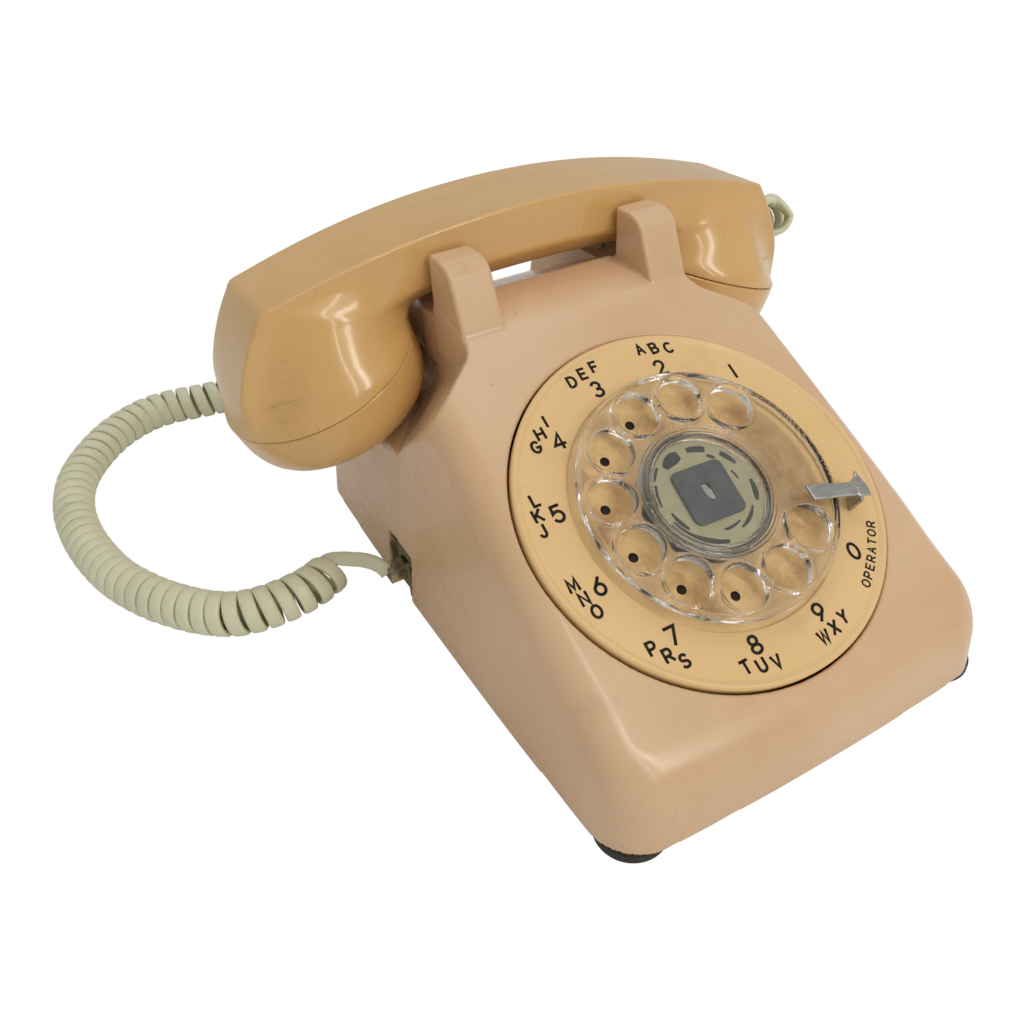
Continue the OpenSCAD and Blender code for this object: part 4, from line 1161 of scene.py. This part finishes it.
def area_light(name, at, toward, size, power, colour=(1, 1, 1)):
    data = bpy.data.lights.new(name, "AREA")
    data.shape = "RECTANGLE"
    data.size, data.size_y = size
    data.energy = power
    data.color = colour
    light = bpy.data.objects.new(name, data)
    bpy.context.collection.objects.link(light)
    light.location = at
    light.rotation_euler = (Vector(toward) - Vector(at)).to_track_quat("-Z", "Y").to_euler()


def make_stage():
    """White background, even room light, three area lights and a floor that only throws light back."""
    world = bpy.data.worlds.new("world")
    world.use_nodes = True
    nodes, links = world.node_tree.nodes, world.node_tree.links
    seen = nodes["Background"]
    seen.inputs["Color"].default_value = (1, 1, 1, 1)
    seen.inputs["Strength"].default_value = 1.0
    # A room's even light, dimmer than the white that the camera sees
    room = nodes.new("ShaderNodeBackground")
    room.inputs["Color"].default_value = (1, 0.985, 0.93, 1)
    room.inputs["Strength"].default_value = 0.47
    path = nodes.new("ShaderNodeLightPath")
    choose = nodes.new("ShaderNodeMixShader")
    links.new(path.outputs["Is Camera Ray"], choose.inputs["Fac"])
    links.new(room.outputs["Background"], choose.inputs[1])
    links.new(seen.outputs["Background"], choose.inputs[2])
    links.new(choose.outputs["Shader"], nodes["World Output"].inputs["Surface"])
    bpy.context.scene.world = world
    area_light("key", (0.34, -0.86, 0.95), (0, 0, 0.05), (0.12, 1.1), 4.4, (1, 0.97, 0.91))
    area_light("second", (0.1, -0.95, 0.9), (0, 0, 0.05), (0.04, 1.1), 1.8, (1, 0.97, 0.91))
    area_light("window", (0.15, 0.35, 1.3), (0, 0, 0.08), (1.2, 0.8), 3.4, (0.95, 0.97, 1))
    bpy.ops.mesh.primitive_plane_add(size=6, location=(0, 0, 0))
    floor = bpy.context.object
    floor.name = "floor"
    # It only throws light back: the picture's background is plain white, with no shadow
    floor.visible_camera = False
    white = bpy.data.materials.new("floor_white")
    white.use_nodes = True
    white.node_tree.nodes["Principled BSDF"].inputs["Base Color"].default_value = (0.93, 0.93, 0.93, 1)
    white.node_tree.nodes["Principled BSDF"].inputs["Roughness"].default_value = 0.8
    floor.data.materials.append(white)


make_camera()
make_cord()
paint_cad_nodes()
make_housing()
make_handset()
make_cap(-1)
make_cap(1)
make_number_plate()
make_wheel()
make_characters()
make_card_and_hub()
make_finger_stop()
make_feet()
make_cord_jack()
make_stage()
bpy.context.scene.view_settings.view_transform = "Standard"
